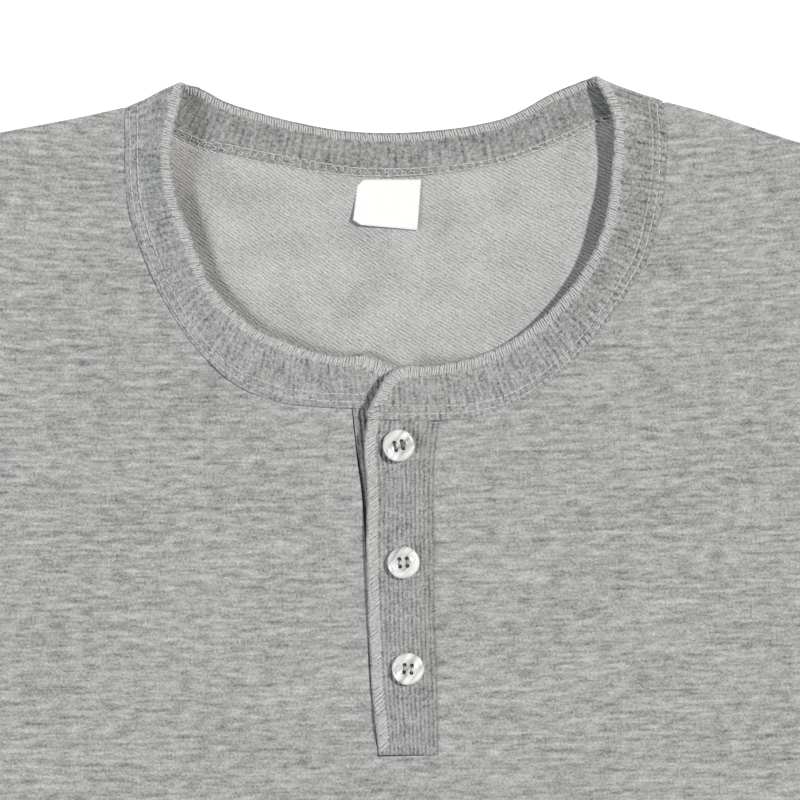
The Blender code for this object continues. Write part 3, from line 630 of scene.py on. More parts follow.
@dataclass(frozen=True)
class HeatherJersey:
    """Grey melange jersey: streaks along the courses, broken up by fine flecks."""

    dark: Colour = (0.135, 0.136, 0.135)
    light: Colour = (0.605, 0.603, 0.592)
    streaks: tuple[Grain, ...] = (Grain(30.0, 2.0, 0.38), Grain(6.2, 1.15, 0.5), Grain(6.2, 2.7, 0.46))
    flecks: tuple[Grain, ...] = (Grain(1.5, 1.5, 0.36), Grain(0.8, 0.75, 0.66))
    patches: tuple[Grain, ...] = (Grain(45.0, 22.0, 0.14),)

    def material(self) -> bpy.types.Material:
        """Makes the material.

        Returns:
            The material.
        """
        graph = Graph("heather_jersey", {"Roughness": 0.92, "Specular IOR Level": 0.2, "Sheen Weight": 0.08})
        place = graph.cloth()
        flecks = graph.melange(place, self.flecks)
        streaks = graph.melange(place, self.streaks)
        tone = 0.5 + streaks + flecks + graph.melange(place, self.patches)
        return graph.finish(tone, self.dark, self.light, flecks + streaks * 0.4, 0.00016)


@dataclass(frozen=True)
class LoopedInside:
    """The inside of the jersey: fine rows of loops, which slant less and less from left to right."""

    dark: Colour = (0.17, 0.169, 0.166)
    light: Colour = (0.695, 0.688, 0.678)
    turns: Triple = (443.0, -418.0, 623.0)     # rows a metre: across, their lessening, and up
    slope: float = 35.0
    loops: tuple[Grain, ...] = (Grain(1.6, 0.65, 0.42), Grain(4.6, 1.9, 0.24))
    fuzz: tuple[Grain, ...] = (Grain(0.65, 0.6, 0.62),)
    patches: tuple[Grain, ...] = (Grain(15.0, 15.0, 0.26), Grain(32.0, 24.0, 0.2))

    def material(self) -> bpy.types.Material:
        """Makes the material.

        Returns:
            The material.
        """
        graph = Graph("looped_inside", {"Roughness": 0.95, "Specular IOR Level": 0.15, "Sheen Weight": 0.1})
        place = graph.cloth()
        x, y = graph.part(place, 0), graph.part(place, 1)
        drift = graph.noise(place, (145.0, 145.0, 1.0)) * 1.1
        rows = x * self.turns[0] + x * x * self.turns[1] + y * self.turns[2] + drift
        depth = 1.0 + graph.noise(place, (430.0, 430.0, 1.0)) * 2.5
        rows = (rows * (2 * math.pi)).sine() * depth
        cosine, sine = math.cos(math.radians(self.slope)), math.sin(math.radians(self.slope))
        slanted = graph.vector(x * cosine - y * sine, y * cosine + x * sine)
        loops = graph.melange(slanted, self.loops) + graph.melange(place, self.fuzz)
        tone = 0.56 + rows * 0.13 + loops + graph.melange(place, self.patches)
        return graph.finish(tone, self.dark, self.light, rows * 0.15 + loops, 0.00022)


@dataclass(frozen=True)
class RibKnit:
    """Rib knit in the same melange yarn, with painted shade as thin dark lines in the furrows between its ribs.
    """

    name: str
    pitch: float
    # how dark the painted shade in the furrows between the ribs is
    shaded_furrow: float
    blotches: tuple[Grain, ...]
    bars: tuple[Grain, ...] = (Grain(1.5, 7.7, 0.5), Grain(1.1, 1.2, 0.7), Grain(0.6, 0.6, 0.7))
    dark: Colour = (0.11, 0.111, 0.111)
    light: Colour = (0.575, 0.573, 0.565)
    later_furrow_shade: float = 0.0     # painted shade added to the furrows from a third of a metre along the band to half a metre

    def material(self) -> bpy.types.Material:
        """Makes the material.

        Returns:
            The material.
        """
        graph = Graph(self.name, {"Roughness": 0.92, "Specular IOR Level": 0.2, "Sheen Weight": 0.08})
        place = graph.cloth()
        along = graph.part(place, 0)
        drift = graph.noise(place, (185.0, 185.0, 1.0)) * 0.35
        ribs = ((along * (1 / (self.pitch * MM)) + drift) * (2 * math.pi) - math.pi / 2).sine()
        # The furrows between the ribs, which are both sunk in the relief and painted darker as shade.
        shaded_furrow = (ribs * -1.0).between(0.1, 1.0)
        bars = graph.melange(place, self.bars)
        depth = 1.0 + graph.noise(place, (500.0, 200.0, 1.0), shift=(4.0, 0.0, 0.0)) * 2.4
        # Painted shade in the furrows, uneven in depth and stronger on a stretch of the band's right front,
        # where the light runs along the ribs.
        strength = along.between(0.26, 0.34) * (1.0 - along.between(0.43, 0.5)) * self.later_furrow_shade + self.shaded_furrow
        tone = 0.53 + bars + graph.melange(place, self.blotches) - shaded_furrow * depth * strength
        return graph.finish(tone, self.dark, self.light, bars * 0.8 - shaded_furrow * 0.6, 0.0002)


@dataclass(frozen=True)
class SewingThread:
    """Spun thread, a little lighter than the cloth."""

    name: str
    dark: Colour
    light: Colour

    def material(self) -> bpy.types.Material:
        """Makes the material.

        Returns:
            The material.
        """
        graph = Graph(self.name, {"Roughness": 0.75, "Specular IOR Level": 0.3, "Sheen Weight": 0.1})
        place = graph.objectwise()
        tone = 0.5 + graph.noise(place, (700.0, 700.0, 700.0), 2.0) * 1.5
        fuzz = graph.noise(place, (3200.0, 3200.0, 3200.0), 1.0)
        return graph.finish(tone, self.dark, self.light, fuzz, 0.00012)


@dataclass(frozen=True)
class PearlShell:
    """White button plastic with grey streaks, as pearl shell has, and a painted highlight on the rim that
    leaves the dish darker.
    """

    dark: Colour = (0.2, 0.197, 0.19)
    light: Colour = (0.95, 0.945, 0.93)
    slope: float = 48.0

    def material(self) -> bpy.types.Material:
        """Makes the material.

        Returns:
            The material.
        """
        graph = Graph("pearl_shell", {"Roughness": 0.22, "Specular IOR Level": 0.5, "Coat Weight": 0.6})
        place = graph.objectwise()
        face = graph.cloth()
        # How far each point lies from the button's middle, which places the painted highlight.
        reach = (graph.part(face, 0) ** 2.0 + graph.part(face, 1) ** 2.0) ** 0.5
        x, y = graph.part(place, 0), graph.part(place, 1)
        cosine, sine = math.cos(math.radians(self.slope)), math.sin(math.radians(self.slope))
        along, aside = x * cosine + y * sine, y * cosine - x * sine
        wander = graph.noise(place, (220.0, 220.0, 220.0), 2.0) * 0.6
        streaked = graph.vector(along * 90.0 + wander, aside * 480.0 + wander)
        bands = graph.noise(streaked, (1.0, 1.0, 1.0), 2.0)
        # Painted highlight: the rim is painted lighter than the dish, so the dish reads as painted shade.
        tone = 0.5 + reach.between(0.0024, 0.0036) * 0.27 + bands * 2.1
        return graph.finish(tone, self.dark, self.light)


@dataclass(frozen=True)
class WovenSatin:
    """The white woven label."""

    shade: Colour = (0.84, 0.84, 0.83)
    light: Colour = (0.97, 0.97, 0.955)
    thread: float = 0.00034

    def material(self) -> bpy.types.Material:
        """Makes the material.

        Returns:
            The material.
        """
        graph = Graph("woven_satin", {"Roughness": 0.55, "Specular IOR Level": 0.4, "Sheen Weight": 0.2})
        place = graph.cloth()
        warp = (graph.part(place, 0) * (2 * math.pi / self.thread)).sine()
        weft = (graph.part(place, 1) * (2 * math.pi / (self.thread * 1.4))).sine()
        cloud = graph.noise(place, (240.0, 240.0, 1.0), 1.0)
        tone = 0.8 + warp * 0.08 + weft * 0.08 + cloud * 0.3
        return graph.finish(tone, self.shade, self.light, warp * 0.5 + weft * 0.5, 0.00003)


@dataclass(frozen=True)
class StudioFloor:
    """Matte white paper, a little bright by itself so that shadows on it stay pale."""

    glow: float = 0.30

    def material(self) -> bpy.types.Material:
        """Makes the material.

        Returns:
            The material.
        """
        constants = {"Roughness": 0.9, "Specular IOR Level": 0.0, "Emission Strength": self.glow}
        graph = Graph("studio_paper", constants)
        graph.shader.inputs["Emission Color"].default_value = (1.0, 1.0, 1.0, 1.0)
        cloud = graph.noise(graph.objectwise(), (3.0, 3.0, 3.0), 1.0)
        return graph.finish(0.5 + cloud, (0.93, 0.93, 0.93), (0.96, 0.96, 0.96))


# ---- places and curves -----------------------------------------------------------------------------
def world(across: Array | float, drop: Array | float, height: Array | float) -> Array:
    """A place on the garment, in metres."""
    return np.stack(np.broadcast_arrays(across * MM, (MIDDLE_DROP - drop) * MM, height * MM), axis=-1)


def walked(line: Array) -> Array:
    """How far along a line each of its points is."""
    return np.concatenate([[0.0], np.cumsum(np.linalg.norm(np.diff(line, axis=0), axis=1))])


def unit(vectors: Array) -> Array:
    """Vectors made a unit long."""
    return vectors / np.maximum(np.linalg.norm(vectors, axis=-1, keepdims=True), 1e-12)


def smooth_curve(rows: Array, along: Array) -> Array:
    """Reads every column of the rows as one smooth curve, at shares of the way along it.

    Args:
        rows: a table's rows.
        along: the shares, from 0 to 1.

    Returns:
        The rows there.
    """
    table = np.array(rows, float)
    stops = walked(table)
    stops /= stops[-1]
    slopes = np.gradient(table, stops, axis=0)
    first = np.clip(np.searchsorted(stops, along, side="right") - 1, 0, len(stops) - 2)
    span = (stops[first + 1] - stops[first])[:, None]
    t = ((along - stops[first])[:, None]) / span
    return (
        table[first] * (1 + 2 * t) * (1 - t) ** 2
        + slopes[first] * span * t * (1 - t) ** 2
        + table[first + 1] * t**2 * (3 - 2 * t)
        + slopes[first + 1] * span * t**2 * (t - 1)
    )


def resampled(line: Array, shares: Array) -> Array:
    """Points at shares of the length of a line of straight stretches."""
    at = walked(line)
    return np.stack([np.interp(shares * at[-1], at, column) for column in line.T], axis=1)


def on_curve(rows: tuple, shares: Array) -> Array:
    """Points at shares of the length of the smooth curve through a table's rows."""
    return resampled(smooth_curve(rows, np.linspace(0.0, 1.0, 40 * len(rows))), shares)


def traced(rows: tuple, count: int) -> Array:
    """A number of points spread evenly along the smooth curve through a table's rows."""
    return on_curve(rows, np.linspace(0.0, 1.0, count))


def graded(length: float, spacing: float, start: tuple = (), end: tuple = ()) -> Array:
    """Shares of a length: fine steps in from its start and its end, and even spacing between them.

    Args:
        length: the length.
        spacing: about how wide the even steps are.
        start: the steps at its start, outermost first.
        end: the steps at its end, outermost first.

    Returns:
        The shares, from 0 to 1.
    """
    first = np.cumsum([0.0, *start])
    last = length - np.cumsum([0.0, *end])[::-1]
    count = max(1, round((last[0] - first[-1]) / spacing))
    return np.concatenate([first, np.linspace(first[-1], last[0], count + 1)[1:-1], last]) / length


def ease(value: Array, start: float, end: float) -> Array:
    """0 before start, 1 after end, and a soft step between them."""
    share = np.clip((value - start) / (end - start), 0.0, 1.0)
    return share * share * (3 - 2 * share)


def bell(value: Array, middle: float, width: float) -> Array:
    """A soft bump about a middle."""
    return np.exp(-(((value - middle) / width) ** 2))


def patch(bottom: Array, top: Array, left: Array, right: Array, across: Array, up: Array) -> Array:
    """A grid of points between four edges that share their corners (a Coons patch).

    Args:
        bottom: the lower edge, from left to right.
        top: the upper edge, from left to right.
        left: the left edge, from the bottom up.
        right: the right edge, from the bottom up.
        across: the shares of the way across at which it has columns.
        up: the shares of the way up at which it has rows.

    Returns:
        The grid, row by row from the bottom.
    """
    s, t = across[None, :, None], up[:, None, None]
    between_sides = (1 - s) * left[:, None] + s * right[:, None]
    between_ends = (1 - t) * bottom[None] + t * top[None]
    corners = (1 - t) * ((1 - s) * bottom[0] + s * bottom[-1]) + t * ((1 - s) * top[0] + s * top[-1])
    return between_sides + between_ends - corners


def fold_rise(folds: tuple, across: Array, drop: Array) -> Array:
    """How far a set of soft ridges lifts the cloth at each place.

    Args:
        folds: the ridges.
        across: the places across.
        drop: the places down.

    Returns:
        The rise, in mm.
    """
    rise = np.zeros(np.shape(across))
    for fold in folds:
        bearing = math.radians(fold.bearing)
        east, south = across - fold.across, drop - fold.drop
        along = east * math.cos(bearing) + south * math.sin(bearing)
        aside = south * math.cos(bearing) - east * math.sin(bearing)
        rise = rise + fold.rise * np.exp(-((along / fold.length) ** 2) - (aside / fold.width) ** 2)
    return rise


def ripple(across: Array, drop: Array, seed: int, lengths: tuple[float, float], size: float) -> Array:
    """A shallow uneven swell of the cloth, as the sum of a few slanting waves.

    Args:
        across: the places across.
        drop: the places down.
        seed: what the waves are drawn from.
        lengths: the least and the most length of a wave.
        size: the most that it comes to.

    Returns:
        The swell, in mm about 0.
    """
    random = np.random.default_rng(seed)
    total = np.zeros(np.shape(across))
    for _ in range(7):
        angle, phase = random.uniform(0.0, 2 * math.pi, 2)
        wave = 2 * math.pi / random.uniform(*lengths)
        total = total + np.sin(wave * (across * math.cos(angle) + drop * math.sin(angle)) + phase)
    return total * size / 7


def distance_to(places: Array, line: Array) -> Array:
    """The distance from each place to a line of straight stretches.

    Args:
        places: an array of places.
        line: the line's points.

    Returns:
        The distances.
    """
    flat = places.reshape(-1, 2)
    best = np.full(len(flat), 1e9)
    for start, end in zip(line, line[1:]):
        run = end - start
        share = np.clip(((flat - start) @ run) / max(run @ run, 1e-9), 0.0, 1.0)
        best = np.minimum(best, np.linalg.norm(flat - start - share[:, None] * run, axis=1))
    return best.reshape(places.shape[:-1])


def nearest(places: Array, lines: list[Array]) -> Array:
    """The distance from each place to the closest of a few lines."""
    return np.min([distance_to(places, line) for line in lines], axis=0)


def falling(distance: Array, radius: float) -> Array:
    """How far a rounded edge has fallen: 1 at the edge itself and 0 from a radius inside it."""
    return 1 - np.sqrt(1 - (1 - np.clip(distance / radius, 0.0, 1.0)) ** 2)


def within(places: Array, outline: Array) -> Array:
    """Whether each place lies inside a closed outline.

    Args:
        places: a row of places.
        outline: the outline's corners.

    Returns:
        True inside and False outside.
    """
    across, drop = places.T
    inside = np.zeros(len(places), bool)
    for start, end in zip(outline, np.roll(outline, -1, axis=0)):
        spans = (start[1] > drop) != (end[1] > drop)
        if spans.any():
            crossing = start[0] + (drop - start[1]) / (end[1] - start[1]) * (end[0] - start[0])
            inside ^= spans & (across < crossing)
    return inside


def hem_fold(from_edge: Array) -> Array:
    """1 where a hem lies double, and 0 beyond the end of what is turned in."""
    return 1 - ease(from_edge, HEM_DEPTH - 0.6, HEM_DEPTH + 1.2)


def hem_grooves(from_edge: Array) -> Array:
    """1 along both needle rows of a hem."""
    return sum(bell(from_edge, row, 0.8) for row in HEM_ROWS)


def seam_depth(across: Array, drop: Array) -> Array:
    """How deep the seam round the front of the band lies: deepest on the left and over the placket.

    Args:
        across: the places across.
        drop: the places down.

    Returns:
        The depth, in mm.
    """
    left = (0.52 * ease(drop, 8.0, 28.0) + 0.22 * ease(drop, 96.0, 112.0)) * (1 - ease(across, -12.0, 4.0))
    over_placket = 0.32 * ease(across, -12.0, 4.0) * (1 - ease(across, 8.0, 16.0)) * ease(drop, 100.0, 112.0)
    return left + over_placket + 0.28 * ease(across, 80.0, 96.0) * ease(drop, 14.0, 28.0)


def neck_swell(across: Array) -> Array:
    """How far the back of the neck bulges up beside its left fold."""
    return 3.0 * ease(across, -78.0, -61.0) * (1 - ease(across, -54.0, 10.0))


# ---- meshes ----------------------------------------------------------------------------------------
def quads_of(number: Array) -> Array:
    """The corners of the quads between the numbered points of a grid."""
    corners = [number[:-1, :-1], number[:-1, 1:], number[1:, 1:], number[1:, :-1]]
    return np.stack(corners, axis=-1).reshape(-1, 4)


def linked(name: str, data: bpy.types.ID) -> bpy.types.Object:
    """A new object in the scene.

    Args:
        name: its name.
        data: what it shows.

    Returns:
        The object.
    """
    made = bpy.data.objects.new(name, data)
    bpy.context.scene.collection.objects.link(made)
    return made


def select(made: bpy.types.Object) -> None:
    """Makes an object the active one and the only one that is selected.

    Args:
        made: the object.
    """
    bpy.ops.object.select_all(action="DESELECT")
    made.select_set(True)
    bpy.context.view_layer.objects.active = made


def coat(made: bpy.types.Object, material: bpy.types.Material) -> None:
    """Gives an object its only material and smooth shading.

    Args:
        made: the object.
        material: its finish.
    """
    made.data.materials.clear()
    made.data.materials.append(material)
    made.data.shade_smooth()


class Surface:
    """One face of a sheet, on which threads are laid."""

    def __init__(self, points: Array, faces: Array) -> None:
        """Builds the search tree of the face's polygons."""
        self.tree = BVHTree.FromPolygons(points.tolist(), faces.tolist())

    def lay(self, points: Array, lift: Array) -> Array:
        """Moves points to the closest place on the surface and lifts them off it, in metres.

        Args:
            points: the points.
            lift: how far each is lifted.

        Returns:
            The points there.
        """
        laid = []
        for point, up in zip(points.reshape(-1, 3), np.broadcast_to(lift, points.shape[:-1]).ravel()):
            place, normal, _, _ = self.tree.find_nearest(Vector(point))
            laid.append(place + normal * up)
        return np.array(laid).reshape(points.shape)


@dataclass
class Sheet:
    """A sheet of cloth as two faces of points that are joined round their shared outline."""

    name: str
    outer: Array     # the points of the face that looks outwards
    inner: Array     # the points of the other face, one for each of outer's
    faces: Array     # the corners of outer's quads, counter-clockwise as seen from outside
    uvs: Array       # each point's place on the flat cloth, in metres

    @classmethod
    def of_grid(cls, name: str, outer: Array, inner: Array, uvs: Array, ring: bool = False) -> "Sheet":
        """A sheet whose faces are grids of points.

        Args:
            name: the piece's name.
            outer: the outer grid.
            inner: the inner grid.
            uvs: the grid of places on the cloth.
            ring: whether the grid's second index goes round and meets its start.

        Returns:
            The sheet, with its outer quads facing away from the inner grid.
        """
        rows, columns = outer.shape[:2]
        number = np.arange(rows * columns).reshape(rows, columns)
        if ring:
            number = np.concatenate([number, number[:, :1]], axis=1)
        faces = quads_of(number)
        points, back = outer.reshape(-1, 3), inner.reshape(-1, 3)
        corners = points[faces]
        normals = np.cross(corners[:, 2] - corners[:, 0], corners[:, 3] - corners[:, 1])
        away = (points - back)[faces].mean(axis=1)
        if (normals * away).sum() < 0:
            faces = faces[:, ::-1]
        return cls(name, points, back, faces, uvs.reshape(-1, 2))

    @classmethod
    def of_plan(cls, name: str, patches: list[Array], top: Array, bottom: Array, uvs: Array) -> "Sheet":
        """A sheet that lies flat, from patches of places that share borders.

        Args:
            name: the piece's name.
            patches: grids of (across, drop) places.
            top: the heights of the face that looks up, for all patches' places in turn.
            bottom: the heights of the face that looks down.
            uvs: the places on the cloth.

        Returns:
            The sheet, with its shared borders welded.
        """
        places = np.concatenate([grid.reshape(-1, 2) for grid in patches])
        _, first, index = np.unique(places.round(3), axis=0, return_index=True, return_inverse=True)
        index = index.reshape(-1)
        faces, start = [], 0
        for grid in patches:
            rows, columns = grid.shape[:2]
            faces.append(quads_of(index[start : start + rows * columns].reshape(rows, columns)))
            start += rows * columns
        faces = np.concatenate(faces)
        plan = places[first]
        upper = world(plan[:, 0], plan[:, 1], top[first])
        lower = world(plan[:, 0], plan[:, 1], bottom[first])
        corners = upper[faces]
        turned = np.cross(corners[:, 2] - corners[:, 0], corners[:, 3] - corners[:, 1])[:, 2] < 0
        faces[turned] = faces[turned, ::-1]
        return cls(name, upper, lower, faces, uvs[first])

    def surface(self, outer: bool = True) -> Surface:
        """The outer or the inner face."""
        return Surface(self.outer, self.faces) if outer else Surface(self.inner, self.faces[:, ::-1])

    def build(self, outside: bpy.types.Material, inside: bpy.types.Material) -> bpy.types.Object:
        """Makes the object.

        Args:
            outside: the finish of the outer face and the rim.
            inside: the finish of the inner face.

        Returns:
            The closed and smooth piece.
        """
        count = len(self.outer)
        edges = np.concatenate([self.faces[:, [k, (k + 1) % 4]] for k in range(4)])
        _, index, uses = np.unique(np.sort(edges, axis=1), axis=0, return_inverse=True, return_counts=True)
        open_edges = edges[uses[index.reshape(-1)] == 1]
        a, b = open_edges.T
        rim = np.stack([a, a + count, b + count, b], axis=1)
        faces = np.concatenate([self.faces, rim, self.faces[:, ::-1] + count])
        mesh = bpy.data.meshes.new(self.name)
        mesh.from_pydata(np.concatenate([self.outer, self.inner]).tolist(), [], faces.tolist())
        both = np.concatenate([self.uvs, self.uvs])
        layer = mesh.uv_layers.new(name=UV_NAME)
        layer.uv.foreach_set("vector", both[faces.ravel()].astype(np.float32).ravel())
        slots = np.zeros(len(faces), np.int32)
        slots[len(self.faces) + len(rim) :] = 1
        mesh.materials.append(outside)
        mesh.materials.append(inside)
        mesh.polygons.foreach_set("material_index", slots)
        mesh.polygons.foreach_set("use_smooth", np.ones(len(faces), bool))
        mesh.update()
        return linked(self.name, mesh)


def sewn(name: str, paths: list[Array], radius: float, material: bpy.types.Material) -> bpy.types.Object:
    """Thread that follows paths.

    Args:
        name: the piece's name.
        paths: the points that each length of thread passes, in metres.
        radius: the thread's radius, in metres.
        material: its finish.

    Returns:
        One mesh of closed round threads.
    """
    curve = bpy.data.curves.new(name, "CURVE")
    curve.dimensions = "3D"
    curve.bevel_depth = radius
    curve.bevel_resolution = 1
    curve.use_fill_caps = True
    for path in paths:
        path = np.column_stack([path[:, :2], np.maximum(path[:, 2], radius)])
        spline = curve.splines.new("POLY")
        spline.points.add(len(path) - 1)
        points = np.column_stack([path, np.ones(len(path))]).astype(np.float32)
        spline.points.foreach_set("co", points.ravel())
        spline.use_smooth = True
    select(linked(name, curve))
    bpy.ops.object.convert(target="MESH")
    made = bpy.context.view_layer.objects.active
    coat(made, material)
    return made


def dressed(piece: bpy.types.Object, nodes: tuple[str, ...] = ()) -> bpy.types.Object:
    """Makes a piece part of the shirt.

    Args:
        piece: the finished object.
        nodes: the solids that it stands for.

    Returns:
        The piece.
    """
    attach(piece, "root")
    if nodes:
        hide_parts(*nodes)
    LOG.info("%s: %d faces", piece.name, len(piece.data.polygons))
    return piece


class Finishes:
    """Every material of the shirt, each made once."""

    def __init__(self) -> None:
        """Makes the materials."""
        self.jersey = HeatherJersey().material()
        self.inside = LoopedInside().material()
        soft = (Grain(7.0, 7.0, 0.3), Grain(2.2, 1.9, 0.35))
        strong = (Grain(6.5, 4.5, 0.3), Grain(6.2, 2.3, 0.26))
        fine = (Grain(1.5, 7.7, 0.26), Grain(1.1, 1.2, 0.64), Grain(0.6, 0.6, 0.7))
        # Each rib knit's third number is the strength of the painted shade in its furrows.
        self.rib = RibKnit("band_rib", BAND_RIB_PITCH, 0.07, soft, later_furrow_shade=0.11).material()
        shade, tone = (0.096, 0.096, 0.096), (0.5, 0.497, 0.488)
        inside = RibKnit("band_rib_inside", BAND_RIB_PITCH, 0.1, soft, dark=shade, light=tone)
        self.rib_inside = inside.material()
        self.placket = RibKnit("placket_rib", PLACKET_RIB_PITCH, 0.2, strong, fine).material()
        self.thread = SewingThread("overlock_thread", (0.4, 0.398, 0.393), (0.76, 0.755, 0.745)).material()
        self.needle = SewingThread("needle_thread", (0.46, 0.46, 0.452), (0.8, 0.795, 0.782)).material()
        self.button_thread = SewingThread("button_thread", (0.05, 0.05, 0.05), (0.3, 0.3, 0.29)).material()
        self.pearl = PearlShell().material()
        self.satin = WovenSatin().material()


# ---- the neck band ---------------------------------------------------------------------------------
class NeckBand:
    """The ribbed band: its front lies over the body's edge, its back shows its inside."""

    columns_of_a_rib = 4
    # How far the grid's rows lie from the seam and from the inner edge, and how many lie between those.
    seam_rows = (0.0, 0.3, 0.6, 1.0, 1.4, 1.8, 2.2, 2.6, 3.0, 3.4, 3.8, 4.2, 4.6, 5.0, 5.5, 6.0, 6.6, 7.4)
    edge_rows = (5.4, 4.7, 4.0, 3.0, 2.0, 1.3, 0.8, 0.4, 0.15, 0.0)
    middle_rows = 4

    def __init__(self) -> None:
        """Works out the band's columns."""
        rows = self.sections()
        dense = smooth_curve(rows, np.linspace(0.0, 1.0, 40 * len(rows)))
        dense[:, [2, 5]] = np.maximum(dense[:, [2, 5]], BACK_LEVEL)
        centre = (dense[:, :3] + dense[:, 3:]) / 2
        at = walked(centre)
        pitch = np.interp(centre[:, 1], *np.array(BAND_RIB_PITCHES).T)
        ribs_before = np.cumsum(np.gradient(at) / pitch)
        count = round(ribs_before[-1]) * self.columns_of_a_rib + 1
        places = np.linspace(ribs_before[0], ribs_before[-1], count)
        columns = np.stack([np.interp(places, ribs_before, column) for column in dense.T], axis=1)
        self.inner, self.outer = columns[:, :3], columns[:, 3:]
        middle = len(FOLD_ANGLES) // 2
        ridges = (len(BAND_FRONT_LEFT) + middle, len(rows) - len(BAND_FRONT_RIGHT) - middle - 1)
        self.left_ridge, self.right_ridge = (
            int(np.argmin(np.linalg.norm(columns - np.array(rows[k]), axis=1))) for k in ridges
        )
        number = np.arange(len(columns))
        past_left, past_right = (
            ease(number, ridge - FOLD_COLUMNS, ridge + FOLD_COLUMNS)
            for ridge in (self.left_ridge, self.right_ridge)
        )
        self.on_back = past_left * (1 - past_right)
        self.build_grids()

    @staticmethod
    def shoulder_fold(before: Section, ridge: Section, after: Section) -> list[Section]:
        """The band's sections round one shoulder fold.

        Args:
            before: the front's section next to the fold.
            ridge: where the fold's outside lies.
            after: the back's section next to the fold.

        Returns:
            The sections, from the front to the back.
        """
        rows = []
        for angle in FOLD_ANGLES:
            turn = math.radians(angle)
            row = []
            for start, radius in ((0, FOLD_RADIUS_INNER), (3, FOLD_RADIUS_OUTER)):
                towards = Vector((before if angle > 0 else after)[start : start + 2])
                here = Vector(ridge[start : start + 2])
                place = here + (towards - here).normalized() * radius * (1 - math.cos(turn))
                row += [*place, BACK_LEVEL + radius * (1 + math.sin(turn))]
            rows.append(Section(*row))
        return rows

    def sections(self) -> list[Section]:
        """All sections, from the end that lies under to the end that lies over.

        Returns:
            The sections.
        """
        left = self.shoulder_fold(BAND_FRONT_LEFT[-1], SHOULDER_FOLD_LEFT, BAND_BACK[0])
        right = self.shoulder_fold(BAND_FRONT_RIGHT[0], SHOULDER_FOLD_RIGHT, BAND_BACK[-1])[::-1]
        return [*BAND_FRONT_LEFT, *left, *BAND_BACK, *right, *BAND_FRONT_RIGHT]

    def build_grids(self) -> None:
        """Works out both faces' points, from the inner edge to the seam."""
        width = np.linalg.norm(self.outer - self.inner, axis=1)
        shrink = np.minimum(1.0, width / FULL_BAND_WIDTH)[:, None]
        from_seam = np.array(self.seam_rows) * shrink
        from_edge = width[:, None] - np.array(self.edge_rows) * shrink
        shares = np.linspace(0.0, 1.0, self.middle_rows + 2)[1:-1]
        between = from_seam[:, -1:] + (from_edge[:, :1] - from_seam[:, -1:]) * shares
        reach = np.concatenate([from_seam, between, from_edge], axis=1)[:, ::-1]
        out_share = reach / width[:, None]
        rise = 0.9 * ease(out_share, 0.2, 0.85) + 0.1 * out_share
        mid = self.outer[:, None] + (self.inner - self.outer)[:, None] * out_share[..., None]
        mid[..., 2] = self.outer[:, None, 2] + (self.inner - self.outer)[:, None, 2] * rise
        mid[..., 2] += neck_swell(mid[..., 0]) * self.on_back[:, None]
        number = np.arange(len(width))[:, None]
        left_bow = 0.45 * np.sin(2 * math.pi * out_share) - 0.6 * np.sin(math.pi * out_share)
        mid[..., 1] += left_bow * bell(number, self.left_ridge, 14.0)
        mid[..., 1] += 0.45 * np.sin(math.pi * out_share) * bell(number, self.right_ridge, 14.0)
        self.mid = world(mid[..., 0], mid[..., 1], mid[..., 2])
        normals = unit(np.cross(np.gradient(self.mid, axis=0), np.gradient(self.mid, axis=1)))
        if normals[-40, 8, 2] < 0:
            normals = -normals
        self.normals = normals
        seam, edge = reach, width[:, None] - reach
        under_lap = ease(self.outer[:, :1], -15.0, -8.0) * (number < self.left_ridge)
        wales = 0.1 * (1 + np.sin(2 * math.pi * number / self.columns_of_a_rib))
        ribs = wales * (0.45 + 0.55 * ease(seam, 6.2, 8.0)) * ease(seam, 1.0, 3.0) * ease(edge, 4.0, 5.4)
        front = 0.42 * ease(seam, 0.7, 1.6) * (1 - ease(seam, 6.3, 7.6)) + 0.3 * (1 - ease(edge, 4.2, 5.4))
        front = front - 0.30 * sum(bell(seam, row[:, None], 0.5) for row in self.needle_rows())
        front = front * (1 - 0.7 * under_lap)
        back = 0.4 * (1 - ease(seam, 3.2, 4.8)) + 0.3 * (1 - ease(edge, 4.0, 5.4))
        rounding = 1 - 0.85 * falling(edge, 1.2)
        uneven = 0.6 + 0.4 * np.sin(0.21 * number + 1.7 * np.sin(0.05 * number))
        dip = 0.8 * bell(seam, 0.0, 0.75) * uneven * seam_depth(self.outer[:, :1], self.outer[:, 1:2])
        on_back = self.on_back[:, None]
        outside = (HALF_CLOTH + (front + ribs) * (1 - on_back)) * rounding - dip * HALF_CLOTH
        inside = (HALF_CLOTH + (back + ribs) * on_back) * rounding - dip * HALF_CLOTH * on_back
        self.outside = self.mid + normals * outside[..., None] * MM
        self.inside = self.mid - normals * inside[..., None] * MM
        along = number * BAND_RIB_PITCH / self.columns_of_a_rib
        self.uvs = np.stack(np.broadcast_arrays(along, seam), axis=-1) * MM

    def needle_rows(self) -> tuple[Array, Array]:
        """How far the twin needle rows lie from the seam, at each column.

        Returns:
            The lower row and the upper one.
        """
        tables = (NEEDLE_WANDER_LEFT, NEEDLE_WANDER_RIGHT)
        left, right = (np.interp(self.outer[:, 1], *np.array(table).T) for table in tables)
        low = np.where(np.arange(len(left)) < self.left_ridge, left, right)
        return low, low + NEEDLE_GAP

    def sheet(self) -> Sheet:
        """The band as a sheet of cloth."""
        return Sheet.of_grid("neck_band_rib", self.outside, self.inside, self.uvs)

    def seam_line(self, first: int, last: int) -> Array:
        """The band's seam edge between two columns, as (across, drop) places."""
        return self.outer[first : last + 1, :2]

    def nearest_column(self, place: Point, start: int, end: int) -> int:
        """The column, from start to end, whose seam edge passes closest to a place."""
        return start + int(np.argmin(np.linalg.norm(self.outer[start:end, :2] - place, axis=1)))


